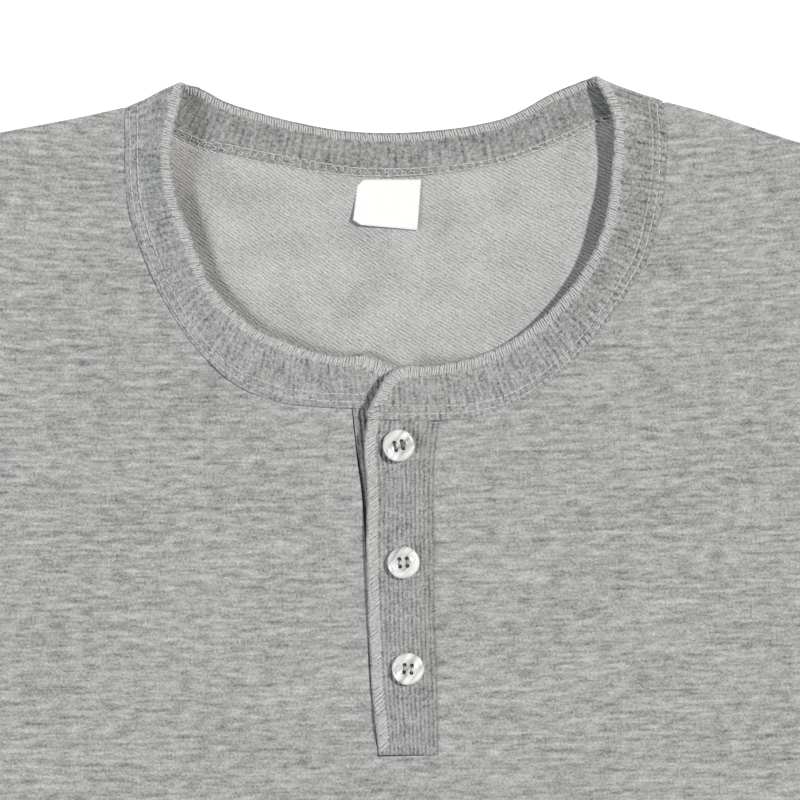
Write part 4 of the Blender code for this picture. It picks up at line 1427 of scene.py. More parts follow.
# ---- body ------------------------------------------------------------------------------------------
def grain(places: Array) -> Array:
    """The places on flat cloth, in metres. Below the neck the courses hang in a shallow curve.

    Args:
        places: places on the garment.

    Returns:
        Their places along the courses and along the wales.
    """
    across, drop = places[..., 0], places[..., 1]
    sag = 10.0 * np.clip(1 - (across / 150.0) ** 2, 0.0, 1.0) * np.exp(-np.clip(drop, 0, None) / 90.0)
    return np.stack([across, sag - drop], axis=-1) * MM


class Body:
    """The front and back panels."""

    def __init__(self, band: NeckBand) -> None:
        """Works out the seam lines that the panels share with the band.

        Args:
            band: the neck band.
        """
        self.band = band
        last = len(band.outer) - 1
        left_corner = band.nearest_column(SLIT_LEFT[-1], 0, band.left_ridge)
        right_corner = band.nearest_column(SLIT_RIGHT[-1], band.right_ridge, last)
        self.neck_left = self.tucked(band.seam_line(left_corner, band.left_ridge - 1), 1)
        self.neck_right = self.tucked(band.seam_line(band.right_ridge + 1, right_corner), 1)[::-1]
        self.neck_left[0], self.neck_left[-1] = SLIT_LEFT[-1], SHOULDER_LEFT[0]
        self.neck_right[0], self.neck_right[-1] = SLIT_RIGHT[-1], SHOULDER_RIGHT[0]
        back = band.seam_line(band.left_ridge + FOLD_COLUMNS, band.right_ridge - FOLD_COLUMNS)
        back = self.tucked(back, -1)
        self.neck_back = np.concatenate([[SHOULDER_LEFT[0]], back, [SHOULDER_RIGHT[0]]])

    @staticmethod
    def tucked(line: Array, side: int) -> Array:
        """A line moved sideways, a little way under its neighbour's edge."""
        run = unit(np.gradient(line, axis=0))
        return line + side * NECK_TUCK * np.stack([-run[:, 1], run[:, 0]], axis=1)

    @staticmethod
    def chest(armhole: tuple, shoulder: tuple, slit: tuple, neck: Array) -> Array:
        """One half of the front above the underarm, rows from there up, columns from the armhole in.

        Args:
            armhole: the armhole's table.
            shoulder: the shoulder seam's.
            slit: the slit's edge.
            neck: the seam under the band, from the slit up.

        Returns:
            The grid of places.
        """
        slit_line = traced(slit, 200)
        slit_shares = graded(walked(slit_line)[-1], 4.2)
        neck_shares = graded(walked(neck)[-1], 3.2, end=INNER_STEPS[3:])
        inside = np.concatenate([resampled(slit_line, slit_shares), resampled(neck, neck_shares)[1:]])
        up = walked(inside) / walked(inside)[-1]
        outside = on_curve(armhole, up)
        across = graded(CHEST_HALF_WIDTH, 5.2, EDGE_STEPS, EDGE_STEPS)
        bottom = outside[0] + (inside[0] - outside[0]) * across[:, None]
        top = on_curve(shoulder[::-1], across)
        top[-1] = inside[-1]
        return patch(bottom, top, outside, inside, across, up)

    @staticmethod
    def skirt(top: Array, spread: Array, shares: Array) -> Array:
        """A panel's rows from the underarm, where the top one is given, down to the hem.

        Args:
            top: the row at the underarm.
            spread: each place's share of the way across.
            shares: where the rows lie, as shares of the way from the hem up.

        Returns:
            The grid of places.
        """
        rows = [top]
        for drop, west, east in on_curve(SIDES, shares)[-2::-1]:
            rows.append(np.stack([spread * (west + east) - west, np.full(len(spread), drop)], axis=1))
        return np.array(rows)

    def front(self) -> Sheet:
        """The front panel, slit for the placket.

        Returns:
            The panel as a sheet of cloth.
        """
        left = self.chest(ARMHOLE_LEFT, SHOULDER_LEFT, SLIT_LEFT, self.neck_left)
        right = self.chest(ARMHOLE_RIGHT, SHOULDER_RIGHT, SLIT_RIGHT, self.neck_right)[:, ::-1]
        foot = left[0][-1] + (right[0][0] - left[0][-1]) * np.linspace(0.0, 1.0, 7)[1:-1, None]
        top = np.concatenate([left[0], foot, right[0]])
        spread = (top[:, 0] - top[0, 0]) / (top[-1, 0] - top[0, 0])
        down = graded(BODY_LENGTH - UNDERARM_DROP, 5.4, EDGE_STEPS, EDGE_STEPS)
        rows = self.skirt(top, spread, down)
        patches = [left, right, rows]
        places = np.concatenate([grid.reshape(-1, 2) for grid in patches])
        sides = traced(SIDES, 60)
        borders = [
            np.stack([-sides[:, 1], sides[:, 0]], axis=1),
            np.stack([sides[:, 2], sides[:, 0]], axis=1),
            traced(SHOULDER_LEFT, 40),
            traced(SHOULDER_RIGHT, 40),
            rows[-1][[0, -1]],
        ]
        slit_left, slit_right = traced(SLIT_LEFT, 80), traced(SLIT_RIGHT, 80)
        necks = [self.neck_left[::3], self.neck_right[::3]]
        slit = np.concatenate([slit_left[::-1], slit_right])
        seams = [*necks, slit, traced(ARMHOLE_LEFT, 60), traced(ARMHOLE_RIGHT, 60)]
        across, drop = places.T
        border, seam, neck = (nearest(places, lines) for lines in (borders, seams, necks))
        swell = fold_rise(FRONT_FOLDS, across, drop) + ripple(across, drop, 3, (34.0, 95.0), 0.55)
        level = FRONT_LEVEL + swell * ease(np.minimum(border, seam), 0.0, 14.0)
        hem = BODY_LENGTH - drop
        uneven = 1 + ripple(across, drop, 5, (20.0, 50.0), 0.8)
        beside_neck = (0.3 - seam_depth(across, drop) * uneven) * bell(neck, 0.0, 2.2)
        beside_placket = 0.3 * bell(distance_to(places, slit_right), 0.0, 1.1)
        other = (0.12 * bell(seam, 0.0, 1.0) + beside_placket) * ease(neck, 0.0, 3.0)
        slit_rise = ease(drop, 132.0, 160.0) * (1 - ease(drop, 238.0, 252.0))
        slit_rise = slit_rise * bell(distance_to(places, slit_left), 0.0, 4.0)
        upper = level + HALF_CLOTH + 0.45 * hem_fold(hem) - 0.32 * hem_grooves(hem) + beside_neck - other
        upper = upper + 0.85 * slit_rise
        upper = upper - falling(border, EDGE_RADIUS) * (upper - SIDE_SEAM_LEVEL - RIM_GAP)
        lower = level - HALF_CLOTH - 0.14 * (1 - ease(border, 0.0, 3.0)) + 0.6 * slit_rise
        return Sheet.of_plan("front_jersey", patches, upper, lower, grain(places))

    def back(self) -> Sheet:
        """The back panel, whose inside shows in the neck opening.

        Returns:
            The panel as a sheet of cloth.
        """
        span = graded(walked(self.neck_back)[-1], 2.8)
        shoulder = graded(walked(np.array(SHOULDER_LEFT))[-1], 6.0, EDGE_STEPS[:5], INNER_STEPS[3:])
        west, east = on_curve(SHOULDER_LEFT, shoulder)[::-1], on_curve(SHOULDER_RIGHT, shoulder)
        top = np.concatenate([west, resampled(self.neck_back, span)[1:-1], east])
        across = (top[:, 0] - top[0, 0]) / (top[-1, 0] - top[0, 0])
        up = graded(CHEST_RISE, 4.0, end=INNER_STEPS)
        left, right = on_curve(ARMHOLE_LEFT, up), on_curve(ARMHOLE_RIGHT, up)
        bottom = left[0] + (right[0] - left[0]) * across[:, None]
        chest = patch(bottom, top, left, right, across, up)
        rows = self.skirt(bottom, across, graded(BODY_LENGTH - UNDERARM_DROP, 14.0, EDGE_STEPS))
        patches = [chest, rows]
        places = np.concatenate([grid.reshape(-1, 2) for grid in patches])
        outline = np.concatenate([left[::-1], rows[:, 0], rows[-1], rows[::-1, -1], right])
        across, drop = places.T
        border = nearest(places, [outline[::2], traced(SHOULDER_LEFT, 40), traced(SHOULDER_RIGHT, 40)])
        seam = distance_to(places, self.neck_back[::3])
        swell = ripple(across, drop, 8, (26.0, 70.0), 0.3) * ease(np.minimum(border, seam), 0.0, 12.0)
        inner, left_ridge, right_ridge = self.band.inner[:, :2], self.band.left_ridge, self.band.right_ridge
        hollow = nearest(places, [inner[:left_ridge:4], inner[right_ridge::4]])
        hollow = np.where(within(places, inner[::4]), hollow, -hollow)
        rise = 4.4 - 2.8 * ease(across, -72.0, -22.0)
        beside_label = np.hypot(
            np.clip(abs(across + 1.3) - 14.0, 0.0, None),
            np.clip(drop - 58.0, 0.0, None),
        )
        crown = rise * ease(hollow, -3.0, 13.0) * ease(seam, 0.0, 20.0) * ease(beside_label, 0.5, 24.0)
        crown = crown + neck_swell(across) * (1 - ease(seam, 0.0, 25.0))
        upper = BACK_LEVEL + HALF_CLOTH + np.clip(swell, 0.0, None) + crown
        upper = upper + 0.45 * bell(seam, 0.0, 1.4) * ease(beside_label, 0.0, 3.0)
        upper = upper + 0.12 * (1 - ease(border, 0.0, 3.0))
        lower = falling(border, EDGE_RADIUS) * (SIDE_SEAM_LEVEL - RIM_GAP) + 0.5 * crown
        return Sheet.of_plan("back_jersey", patches, upper, lower, grain(places))


# ---- sleeves ---------------------------------------------------------------------------------------
@dataclass(frozen=True)
class Sleeve:
    """A flattened sleeve, one tube from the armhole to the cuff."""

    name: str
    armhole: tuple     # the body's edge that it is sewn to
    rows: tuple        # its fold lines
    folds: tuple       # its creases
    seed: int          # what its shallow swell is drawn from

    across_count = 46
    fold_turns = (67.5, 45.0, 22.5, 0.0, -22.5, -45.0, -67.5)

    def ring(self, flat: Array, heights: Array, inside: int) -> Array:
        """One closed ring, over the upper layer and back under the lower one.

        Args:
            flat: its places from fold to fold.
            heights: the upper layer's heights.
            inside: 1 for the outer face and -1 for the inner one.

        Returns:
            The ring's points, in mm.
        """
        run = (flat[-1] - flat[0]) / np.linalg.norm(flat[-1] - flat[0])
        radius = (FRONT_LEVEL - BACK_LEVEL) / 2 + inside * HALF_CLOTH
        upper = np.column_stack([flat, heights + inside * HALF_CLOTH])
        under = np.column_stack([flat, np.full(len(flat), BACK_LEVEL - inside * HALF_CLOTH)])
        turns = np.radians(self.fold_turns)
        out, rise = run * radius * np.cos(turns)[:, None], radius * np.sin(turns)
        far = np.column_stack([flat[-1] + out, SIDE_SEAM_LEVEL + rise])
        near = np.column_stack([flat[0] - out, SIDE_SEAM_LEVEL - rise])
        return np.concatenate([upper, far, under[::-1], near])

    def sheet(self) -> Sheet:
        """The sleeve as a sheet of cloth.

        Returns:
            The sheet.
        """
        shares = np.linspace(0.0, 1.0, self.across_count + 1)
        edge = on_curve(self.armhole, shares)[::-1]
        along = graded(SLEEVE_LENGTH, 8.0, EDGE_STEPS, EDGE_STEPS)
        layer, fold = shares * SLEEVE_WIDTH, np.ones(len(self.fold_turns)) * SLEEVE_FOLD
        round_it = np.concatenate([layer, SLEEVE_WIDTH + fold, layer[::-1], -fold])
        outer, inner, uvs = [], [], []
        for share, line in zip(along, on_curve(self.rows, along)):
            reach = share * SLEEVE_LENGTH
            straight = line[:2] + (line[2:] - line[:2]) * shares[:, None]
            bow = edge - (edge[0] + (edge[-1] - edge[0]) * shares[:, None])
            flat = straight + bow * (1 - ease(reach, 0.0, SLEEVE_EASE)) if share else edge
            calm = ease(np.minimum(shares, 1 - shares) * SLEEVE_WIDTH, 0.0, 16.0) * ease(reach, 0.0, 20.0)
            swell = ripple(flat[:, 0], flat[:, 1], self.seed, (28.0, 80.0), 0.7)
            swell = np.clip((fold_rise(self.folds, *flat.T) + swell) * calm, 0.0, None)
            cuff = SLEEVE_LENGTH - reach
            hem = 0.4 * hem_fold(cuff) * calm - 0.3 * hem_grooves(cuff)
            wall = 1 - 0.75 * bell(reach, 0.0, 0.8) - 0.7 * bell(cuff, 0.0, 0.6)
            outer_ring = self.ring(flat, FRONT_LEVEL + swell + hem, 1)
            inner_ring = self.ring(flat, FRONT_LEVEL + swell, -1)
            middle = (outer_ring + inner_ring) / 2
            outer.append(world(*(middle + (outer_ring - middle) * wall).T))
            inner.append(world(*inner_ring.T))
            uvs.append(np.stack([round_it, np.full(len(round_it), -reach)], axis=1) * MM)
        return Sheet.of_grid(self.name, np.array(outer), np.array(inner), np.array(uvs), ring=True)


# ---- placket ---------------------------------------------------------------------------------------
@dataclass
class Placket:
    """A ribbed strip whose ribs run down it."""

    name: str
    rows: tuple
    free: bool           # whether its left edge is free and overlocked, and not sewn to the front
    first_rib: float     # the share of a rib with which it starts at its left edge

    columns_of_a_rib = 8

    def sheet(self) -> Sheet:
        """The strip as a sheet of cloth. It also keeps its left edge, for the overlock.

        Returns:
            The sheet.
        """
        length = walked(np.array(self.rows)[:, [0, 1]])[-1]
        table = on_curve(self.rows, graded(length, 2.2, EDGE_STEPS[:5], INNER_STEPS[2:]))
        table[0, [1, 5]] -= 2 * SEAM_GAP
        table[-1, [1, 5]] += SEAM_GAP
        left, right = table[:, [0, 1]], table[:, [4, 5]] + (2 * SEAM_GAP, 0.0)
        width = np.linalg.norm(right - left, axis=1).mean()
        ribs = round(width / PLACKET_RIB_PITCH)
        share = np.linspace(0.0, 1.0, ribs * self.columns_of_a_rib + 1)
        rims = np.array((0.2, 0.5)) / width
        share = np.sort(np.concatenate([share, rims, 1 - rims]))
        flat = left[:, None] + (right - left)[:, None] * share[:, None]
        middle = table[:, 3:4]
        mid = middle + (table[:, 2:3] - middle) * (1 - ease(share, 0.0, 0.4))
        mid = mid + (table[:, 6:7] - middle) * ease(share, 0.8, 0.97)
        from_left, from_right = share * width, (1 - share) * width
        ends = np.minimum(walked(left), walked(left)[::-1])[:, None]
        rib_area = ease(from_left, 3.8, 5.0) if self.free else ease(from_left, 0.3, 1.2)
        rib_place = share * ribs + self.first_rib
        relief = 0.07 * (1 - np.cos(2 * math.pi * rib_place)) * rib_area
        edging = 0.25 * (1 - ease(from_left, 4.0, 5.2)) if self.free else 0.0
        corner = falling(from_left, 0.8) * 0.95
        dip = 0.08 * bell(from_right, 0.0, 0.5) + 0.1 * bell(ends, 0.0, 0.5)
        upper = mid + (HALF_CLOTH + relief + edging) * (1 - corner) - dip
        lower = mid - HALF_CLOTH * (1 - 0.8 * corner)
        self.left = world(left[:, 0], left[:, 1], mid[:, 0])
        uvs = np.broadcast_arrays(rib_place * PLACKET_RIB_PITCH, -walked(left)[:, None])
        uvs = np.stack(uvs, axis=-1).reshape(-1, 2) * MM
        return Sheet.of_plan(self.name, [flat], upper.ravel(), lower.ravel(), uvs)


# ---- threads ---------------------------------------------------------------------------------------
def stitch_row(line: Array, surface: Surface, stitch: Stitch) -> list[Array]:
    """Paths of a row of needle stitches along a line on a surface, in metres.

    Args:
        line: the line.
        surface: what it lies on.
        stitch: the stitches' sizes.

    Returns:
        The path of each stitch.
    """
    total = walked(line)[-1]
    paths = []
    for start in np.arange(stitch.pitch * 0.3, total - stitch.length, stitch.pitch):
        shares = (start + stitch.length * np.array((0.0, 0.14, 0.5, 0.86, 1.0))) / total
        lift = stitch.radius * np.array((-0.9, 0.35, 0.75, 0.35, -0.9))
        paths.append(surface.lay(resampled(line, shares), lift))
    return paths


@dataclass(frozen=True)
class Overlock:
    """Thread wrapped over a raw edge, from a needle line to just under the edge."""

    pitch: float                # from stroke to stroke, in metres
    radius: float               # the thread's, in metres
    lean: float                 # how far a stroke runs along the edge, in widths of the edging
    rim_lift: float = -1.1      # how far it stands out of the cloth beside the rim, in radii

    def wrap(self, edge: Array, inward: Array, up: Array, width: Array, surface: Surface) -> list[Array]:
        """Lays the strokes.

        Args:
            edge: points along the middle of the cloth's edge.
            inward: from each of them, the way into the cloth.
            up: from each of them, the way to the face that shows.
            width: at each of them, the width of the edging in metres.
            surface: the face that shows.

        Returns:
            The path of each stroke.
        """
        along = walked(edge)
        run = unit(np.gradient(edge, axis=0))
        table = np.column_stack([edge, inward, up, run, width])
        random = np.random.default_rng(17)
        shares = np.array((1.0, 0.76, 0.5, 0.32, 0.18))[:, None]
        paths = []
        for start in np.arange(self.pitch / 2, along[-1] - self.pitch / 2, self.pitch):
            at = start + random.uniform(-0.12, 0.12) * self.pitch
            here = np.array([np.interp(at, along, column) for column in table.T])
            place, into, over, ahead, reach = here[:3], here[3:6], here[6:9], here[9:12], here[12]
            reach = reach * random.uniform(0.9, 1.06)
            drift = ahead * reach * (self.lean + random.uniform(-0.12, 0.12))
            bend = ahead * reach * random.uniform(-0.06, 0.06) * shares * (1 - shares) * 4
            on_top = place + into * shares * reach + drift * (shares - 0.5) + bend + over * HALF_CLOTH * MM
            on_top = surface.lay(on_top, self.radius * np.array((-0.7, 0.0, 0.1, 0.0, self.rim_lift)))
            rim = place + into * self.radius * (1.0 - self.rim_lift / 2) - drift / 2
            beneath = place + into * 0.0012 - over * (HALF_CLOTH * MM * 0.9 + self.radius * 0.6) - drift / 2
            paths.append(np.concatenate([on_top, [rim, beneath]]))
        return paths


DENSE_EDGING = Overlock(0.00080, 0.00036, -0.12)
PLAIN_EDGING = Overlock(0.00095, 0.00036, 0.22)
PLACKET_EDGING = Overlock(0.0009, 0.00032, -0.7)
PLACKET_EDGING_WIDTH = 0.0047


class Threads:
    """All the sewing that shows."""

    def __init__(self, band: NeckBand, band_sheet: Sheet, finishes: Finishes) -> None:
        """Keeps what the threads are laid on.

        Args:
            band: the neck band.
            band_sheet: its cloth.
            finishes: the shirt's materials.
        """
        self.band = band
        self.outside = band_sheet.surface()
        self.inside = band_sheet.surface(outer=False)
        self.finishes = finishes

    def band_overlock(self) -> None:
        """The overlock round the band's inner edge."""
        band = self.band
        edge = band.mid[:, 0]
        run = unit(np.gradient(edge, axis=0))
        into = unit(np.cross(band.normals[:, 4], run))
        if (into[40] * (band.mid[40, -1] - band.mid[40, 0])).sum() < 0:
            into = -into
        left, right = band.left_ridge, band.right_ridge
        along = walked(edge) / MM
        from_under, from_over = along, along[-1] - along
        width = 4.1 - 0.8 * band.on_back + 2.2 * bell(from_under, 12.0, 9.0) + 1 - ease(from_over, 20.0, 34.0)
        paths = []
        lap_start = int(np.argmax(from_over < 30.0))
        under_end = int(np.argmax(from_under > 22.0))
        for start, end, stitch, surface, sign in (
            (0, under_end + 1, DENSE_EDGING, self.outside, 1),
            (under_end, left + 1, PLAIN_EDGING, self.outside, 1),
            (left, right + 1, PLAIN_EDGING, self.inside, -1),
            (right, lap_start + 1, PLAIN_EDGING, self.outside, 1),
            (lap_start, len(edge), DENSE_EDGING, self.outside, 1),
        ):
            part = slice(start, end)
            up = sign * band.normals[part, 4]
            paths += stitch.wrap(edge[part], into[part], up, width[part] * MM, surface)
        end = band.mid[-1, :-1:2]
        into_end = unit(np.cross(band.normals[-20, 4], unit(np.gradient(end, axis=0))))
        if into_end[0, 0] < 0:
            into_end = -into_end
        up = np.broadcast_to(band.normals[-20, 4], end.shape)
        paths += DENSE_EDGING.wrap(end, into_end, up, np.full(len(end), width[-1] * MM), self.outside)
        dressed(sewn("band_overlock", paths, PLAIN_EDGING.radius, self.finishes.thread))

    def band_rows(self) -> None:
        """The twin needle rows on the band's front."""
        band = self.band
        width = np.linalg.norm(band.outer - band.inner, axis=1)
        left_end = band.nearest_column(Point(-9.5, 126.4), 0, band.left_ridge)
        paths = []
        for row in band.needle_rows():
            share = (row / np.maximum(width, FULL_BAND_WIDTH))[:, None]
            place = band.outer + (band.inner - band.outer) * share
            points = world(place[:, 0], place[:, 1], place[:, 2] + 1.0)
            right_end = int(np.argmax(place[band.right_ridge :, 0] < -5.2)) + band.right_ridge
            for part in (slice(left_end, band.left_ridge - 1), slice(band.right_ridge + 2, right_end)):
                paths += stitch_row(points[part], self.outside, BAND_STITCH)
        dressed(sewn("band_topstitch", paths, BAND_STITCH.radius, self.finishes.needle))

    def back_coverstitch(self) -> None:
        """The looped underside of the needle rows, on the inside of the back of the neck."""
        band = self.band
        first, last = band.left_ridge + 5, band.right_ridge - 5
        outer, inner = band.outer[first:last], band.inner[first:last]
        width = np.linalg.norm(outer - inner, axis=1)[:, None]
        reaches = COVERSTITCH_LOW, COVERSTITCH_HIGH - 0.8 * ease(outer[:, :1], 0.0, 40.0)
        low, high = (outer + (inner - outer) * reach / width for reach in reaches)
        low, high = (world(line[:, 0], line[:, 1], line[:, 2] + 1.0) for line in (low, high))
        along = walked(high)
        random = np.random.default_rng(31)

        def at(share: float, side: float) -> Array:
            """A place between the two lines, side being 0 on the low one and 1 on the high one."""
            ends = [resampled(line, np.array([min(share, 1.0)]))[0] for line in (low, high)]
            return ends[0] + (ends[1] - ends[0]) * side

        paths = []
        for side in (0.0, 1.0):
            for number in range(int(along[-1] / COVERSTITCH_PITCH) - 1):
                shares = (number + np.array((0.05, 0.3, 0.7, 0.97))) * COVERSTITCH_PITCH / along[-1]
                bow = random.uniform(-0.05, 0.05, 4) + (0.0, 0.05, 0.05, 0.0)
                points = np.array([at(share, side + move) for share, move in zip(shares, bow)])
                paths.append(self.inside.lay(points, np.array((0.00004, 0.0002, 0.0002, 0.00004))))
        for number in range(int(along[-1] / COVERSTITCH_PITCH) - 2):
            shape = LOOPER_SHAPES[random.integers(len(LOOPER_SHAPES))]
            points = []
            for step, side in shape:
                share = (number + step + random.uniform(-0.04, 0.04)) * COVERSTITCH_PITCH / along[-1]
                points.append(at(share, side + random.uniform(-0.05, 0.05)))
            paths.append(self.inside.lay(np.array(points), 0.00024))
        made = sewn("back_neck_coverstitch", paths, COVERSTITCH_RADIUS, self.finishes.thread)
        dressed(made)

    def placket_overlock(self, placket: Placket, sheet: Sheet) -> None:
        """The overlock down the placket's free edge.

        Args:
            placket: the strip on top.
            sheet: its cloth.
        """
        edge = placket.left[:-1]
        run = unit(np.gradient(edge, axis=0))
        up = np.broadcast_to((0.0, 0.0, 1.0), run.shape)
        into = unit(np.cross(run, up))
        if into[:, 0].mean() < 0:
            into = -into
        width = np.full(len(edge), PLACKET_EDGING_WIDTH)
        paths = PLACKET_EDGING.wrap(edge, into, up, width, sheet.surface())
        made = sewn("placket_overlock", paths, PLACKET_EDGING.radius, self.finishes.thread)
        dressed(made)

    def edge_rows(self, name: str, lines: list[Array], sheet: Sheet) -> None:
        """The twin needle rows along two lines above a hem or a cuff.

        Args:
            name: the piece's name.
            lines: the two lines.
            sheet: the cloth that they are sewn through.
        """
        surface = sheet.surface()
        paths = [path for line in lines for path in stitch_row(line, surface, HEM_STITCH)]
        dressed(sewn(name, paths, HEM_STITCH.radius, self.finishes.needle))

    def hem_rows(self, sheet: Sheet) -> None:
        """The twin needle rows above the front's hem.

        Args:
            sheet: the front.
        """
        across = np.linspace(-264.0, 264.0, 200)
        lines = [world(across, BODY_LENGTH - depth, 3.0) for depth in HEM_ROWS]
        self.edge_rows("hem_topstitch", lines, sheet)

    def cuff_rows(self, name: str, rows: tuple, sheet: Sheet) -> None:
        """The twin needle rows above a cuff.

        Args:
            name: the piece's name.
            rows: the sleeve's fold lines.
            sheet: the sleeve.
        """
        shares = np.linspace(0.02, 0.98, 40)
        lines = []
        for depth in HEM_ROWS:
            line = on_curve(rows, np.array([1 - depth / SLEEVE_LENGTH]))[0]
            across, drop = line[:2, None] + (line[2:] - line[:2])[:, None] * shares
            lines.append(world(across, drop, 3.5))
        self.edge_rows(name, lines, sheet)


# ---- trim ------------------------------------------------------------------------------------------
class Label:
    """The bare woven label, its lower left corner cut off and lifting a little."""

    def sheet(self) -> Sheet:
        """The label as a sheet of cloth.

        Returns:
            The sheet.
        """
        across, up = np.linspace(0.0, 1.0, 37), np.linspace(0.0, 1.0, 25)
        foot = np.array(LABEL_FOOT)
        cut = walked(foot)[1] / walked(foot)[-1]
        across[np.argmin(abs(across - cut))] = cut
        bottom = resampled(foot, across)
        top = resampled(np.array(LABEL_TOP), across)
        left = bottom[0] + (top[0] - bottom[0]) * up[:, None]
        right = bottom[-1] + (top[-1] - bottom[-1]) * up[:, None]
        flat = patch(bottom, top, left, right, across, up)
        s, t = across[None], up[:, None]
        height = LABEL_LEVEL + LABEL_CORNER_LIFT * (1 - t) ** 1.5 * (1 - s) ** 1.2
        middle = (height + 0.35 * (1 - t) + 0.12 * np.sin(5 * s + 1.2)).ravel()
        half, uvs = LABEL_THICKNESS / 2, flat.reshape(-1, 2) * MM * (1, -1)
        return Sheet.of_plan("neck_label", [flat], middle + half, middle - half, uvs)


@dataclass(frozen=True)
class Button:
    """A four hole shirt button with a raised rim, and the thread in its holes."""

    place: ButtonPlace

    radius = 6.2
    thickness = 2.4
    hole_radius = 0.78
    hole_offset = 1.42
    # A bar of thread: along, in shares of the way to a hole, and up from the button's middle, in metres.
    bar = ((-1.0, -0.0014), (-1.0, 0.0), (-0.55, 0.00032), (0.55, 0.00032), (1.0, 0.0), (1.0, -0.0014))

    def settle(self, made: bpy.types.Object) -> None:
        """Turns, tips and moves a finished object's mesh to the button's place.

        Args:
            made: the object.
        """
        lift = 0.8 * self.radius * math.sin(math.radians(self.place.tilt))
        level = PLACKET_HEIGHT + HALF_CLOTH + BUTTON_GAP + 0.8 * lift
        made.location = world(self.place.across, self.place.drop, level)
        made.rotation_euler = (0.0, math.radians(self.place.tilt), math.radians(self.place.turn))
        select(made)
        bpy.ops.object.transform_apply(location=True, rotation=True, scale=True)

    def disc(self, material: bpy.types.Material) -> bpy.types.Object:
        """Models the button.

        Args:
            material: its finish.

        Returns:
            The button at its place.
        """
        mesh = bpy.data.meshes.new(f"{self.place.name}_pearl")
        points = [(r * self.radius * MM, 0.0, h * self.thickness * MM) for r, h in BUTTON_PROFILE]
        mesh.from_pydata(points, [(k, k + 1) for k in range(len(points) - 1)], [])
        made = linked(mesh.name, mesh)
        select(made)
        bpy.ops.object.mode_set(mode="EDIT")
        bpy.ops.mesh.select_all(action="SELECT")
        bpy.ops.mesh.spin(steps=72, angle=2 * math.pi, center=(0, 0, 0), axis=(0, 0, 1))
        bpy.ops.mesh.select_all(action="SELECT")
        bpy.ops.mesh.remove_doubles(threshold=1e-6)
        bpy.ops.mesh.normals_make_consistent(inside=False)
        bpy.ops.object.mode_set(mode="OBJECT")
        self.cut_holes(made)
        coat(made, material)
        # The face's places across the button, which the painted rim highlight of the pearl reads.
        layer = made.data.uv_layers.new(name=UV_NAME)
        for loop in made.data.loops:
            layer.uv[loop.index].vector = made.data.vertices[loop.vertex_index].co.xy
        self.settle(made)
        return made

    def cut_holes(self, made: bpy.types.Object) -> None:
        """Cuts the four sewing holes and softens their edges.

        Args:
            made: the button.
        """
        for turn in range(4):
            angle = math.radians(45 + 90 * turn)
            reach = self.hole_offset * math.sqrt(2) * MM
            bpy.ops.mesh.primitive_cylinder_add(
                vertices=20,
                radius=self.hole_radius * MM,
                depth=4 * self.thickness * MM,
                location=(math.cos(angle) * reach, math.sin(angle) * reach, 0.0),
            )
            cutter = bpy.context.view_layer.objects.active
            cut = made.modifiers.new("hole", "BOOLEAN")
            cut.operation = "DIFFERENCE"
            cut.solver = "EXACT"
            cut.object = cutter
            select(made)
            bpy.ops.object.modifier_apply(modifier=cut.name)
            bpy.data.objects.remove(cutter, do_unlink=True)
        soft = made.modifiers.new("soft edges", "BEVEL")
        soft.width = 0.14 * MM
        soft.segments = 2
        soft.limit_method = "ANGLE"
        soft.angle_limit = math.radians(50)
        bpy.ops.object.modifier_apply(modifier=soft.name)

    def thread(
        self, finish: bpy.types.Material, shifts: tuple[float, ...], radius: float
    ) -> bpy.types.Object:
        """The bars of thread between the holes, one for each shift, in mm, off the middle of two holes.

        Args:
            finish: its material.
            shifts: how far each bar lies off.
            radius: the thread's, in metres.

        Returns:
            The thread.
        """
        reach, top = self.hole_offset * MM, 0.6 * self.thickness * MM
        paths = []
        for side in (-1, 1):
            for shift in shifts:
                x = side * reach + shift * MM
                paths.append(np.array([(x, y * reach, top + z) for y, z in self.bar]))
        made = sewn(f"{self.place.name}_thread", paths, radius, finish)
        self.settle(made)
        return made


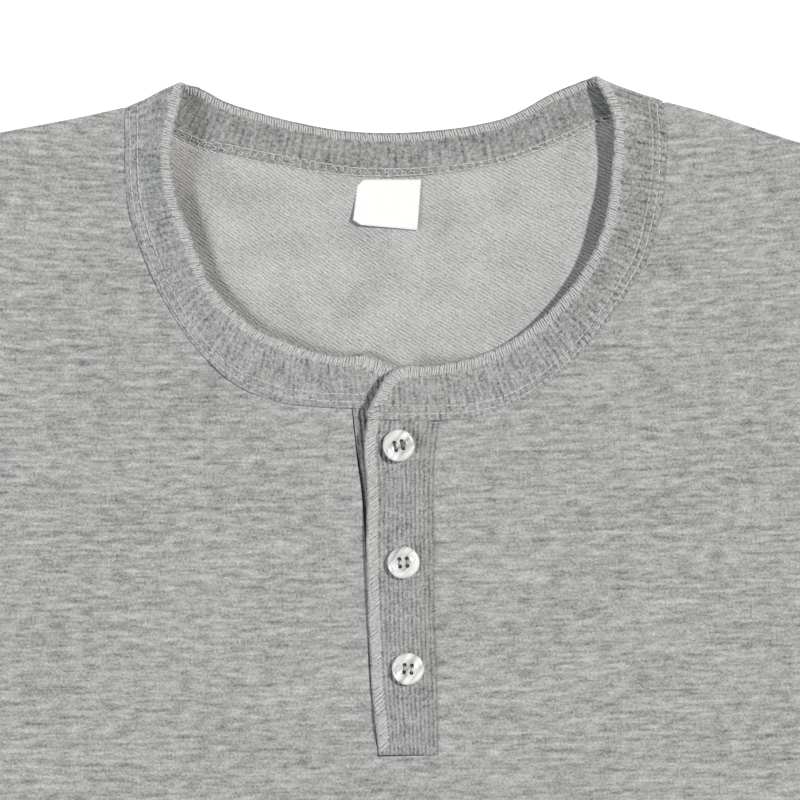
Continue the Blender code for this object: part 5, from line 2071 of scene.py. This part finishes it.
# ---- stage -----------------------------------------------------------------------------------------
class Studio:
    """A white floor, soft light and a camera straight above the neck."""

    frame_width = 308.0
    centre = Point(2.0, 123.3)
    roll = -1.2
    lens = 250.0
    sensor = 36.0

    def floor(self) -> None:
        """Lays the floor, a hair below the shirt."""
        bpy.ops.object.select_all(action="DESELECT")
        bpy.ops.mesh.primitive_plane_add(size=14.0, location=(0.0, 0.0, -0.0004))
        made = bpy.context.view_layer.objects.active
        made.name = "studio_floor"
        made.data.materials.append(StudioFloor().material())

    def camera(self) -> None:
        """Makes the camera and makes it the scene's."""
        data = bpy.data.cameras.new("overhead_camera")
        data.lens = self.lens
        data.sensor_width = self.sensor
        data.clip_start = 0.1
        data.clip_end = 50.0
        made = linked("overhead_camera", data)
        made.location = world(*self.centre, self.lens / self.sensor * self.frame_width)
        made.rotation_euler = (0.0, 0.0, math.radians(self.roll))
        bpy.context.scene.camera = made

    def sun(self, light: Sun) -> None:
        """Adds one distant light.

        Args:
            light: its values.
        """
        data = bpy.data.lights.new(light.name, "SUN")
        data.energy = light.strength
        data.angle = math.radians(light.spread)
        data.color = light.tint
        made = linked(light.name, data)
        turn, rise = math.radians(light.azimuth), math.radians(light.elevation)
        away = Vector((math.cos(turn) * math.cos(rise), math.sin(turn) * math.cos(rise), math.sin(rise)))
        made.rotation_mode = "QUATERNION"
        made.rotation_quaternion = away.to_track_quat("Z", "Y")

    def build(self) -> None:
        """Builds the stage."""
        self.floor()
        self.camera()
        for light in SUNS:
            self.sun(light)
        sky = bpy.data.worlds.new("studio_sky")
        bpy.context.scene.world = sky
        sky.use_nodes = True
        background = sky.node_tree.nodes["Background"]
        background.inputs["Color"].default_value = SKY_COLOUR
        background.inputs["Strength"].default_value = SKY_STRENGTH
        bpy.context.scene.view_settings.view_transform = "Standard"


def main() -> None:
    """Builds the shirt and its stage."""
    logging.basicConfig(level=logging.INFO, format="%(name)s %(message)s")
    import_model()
    finishes = Finishes()
    Studio().build()

    band = NeckBand()
    band_sheet = band.sheet()
    body = Body(band)
    front, back = body.front(), body.back()
    left = Sleeve("sleeve_left_jersey", ARMHOLE_LEFT, SLEEVE_LEFT, SLEEVE_FOLDS_LEFT, 21).sheet()
    right = Sleeve("sleeve_right_jersey", ARMHOLE_RIGHT, SLEEVE_RIGHT, SLEEVE_FOLDS_RIGHT, 22).sheet()
    over = Placket("placket_top_rib", PLACKET_TOP, True, 0.0)
    over_sheet = over.sheet()
    under_sheet = Placket("placket_under_rib", PLACKET_UNDER, False, 0.5).sheet()

    cloths = (
        (front, finishes.jersey, finishes.inside),
        (back, finishes.inside, finishes.jersey),
        (left, finishes.jersey, finishes.inside),
        (right, finishes.jersey, finishes.inside),
        (band_sheet, finishes.rib, finishes.rib_inside),
        (over_sheet, finishes.placket, finishes.placket),
        (under_sheet, finishes.placket, finishes.placket),
        (Label().sheet(), finishes.satin, finishes.satin),
    )
    for (slot, node, flat, area, under), (sheet, outside, inside) in zip(CUTS, cloths):
        piece = dressed(sheet.build(outside, inside), (node,))
        "folded" if "sleeve" in node else "laid"

    threads = Threads(band, band_sheet, finishes)
    threads.band_overlock()
    threads.band_rows()
    threads.back_coverstitch()
    threads.placket_overlock(over, over_sheet)
    threads.hem_rows(front)
    threads.cuff_rows("cuff_left_topstitch", SLEEVE_LEFT, left)
    threads.cuff_rows("cuff_right_topstitch", SLEEVE_RIGHT, right)
    for place in BUTTON_PLACES:
        button = Button(place)
        dressed(button.disc(finishes.pearl), (place.name,))
        shifts, radius = ((-0.22, 0.2), 0.00019) if place.tilt else ((0.0,), 0.00014)
        dressed(button.thread(finishes.button_thread, shifts, radius))


if __name__ == "__main__":
    main()
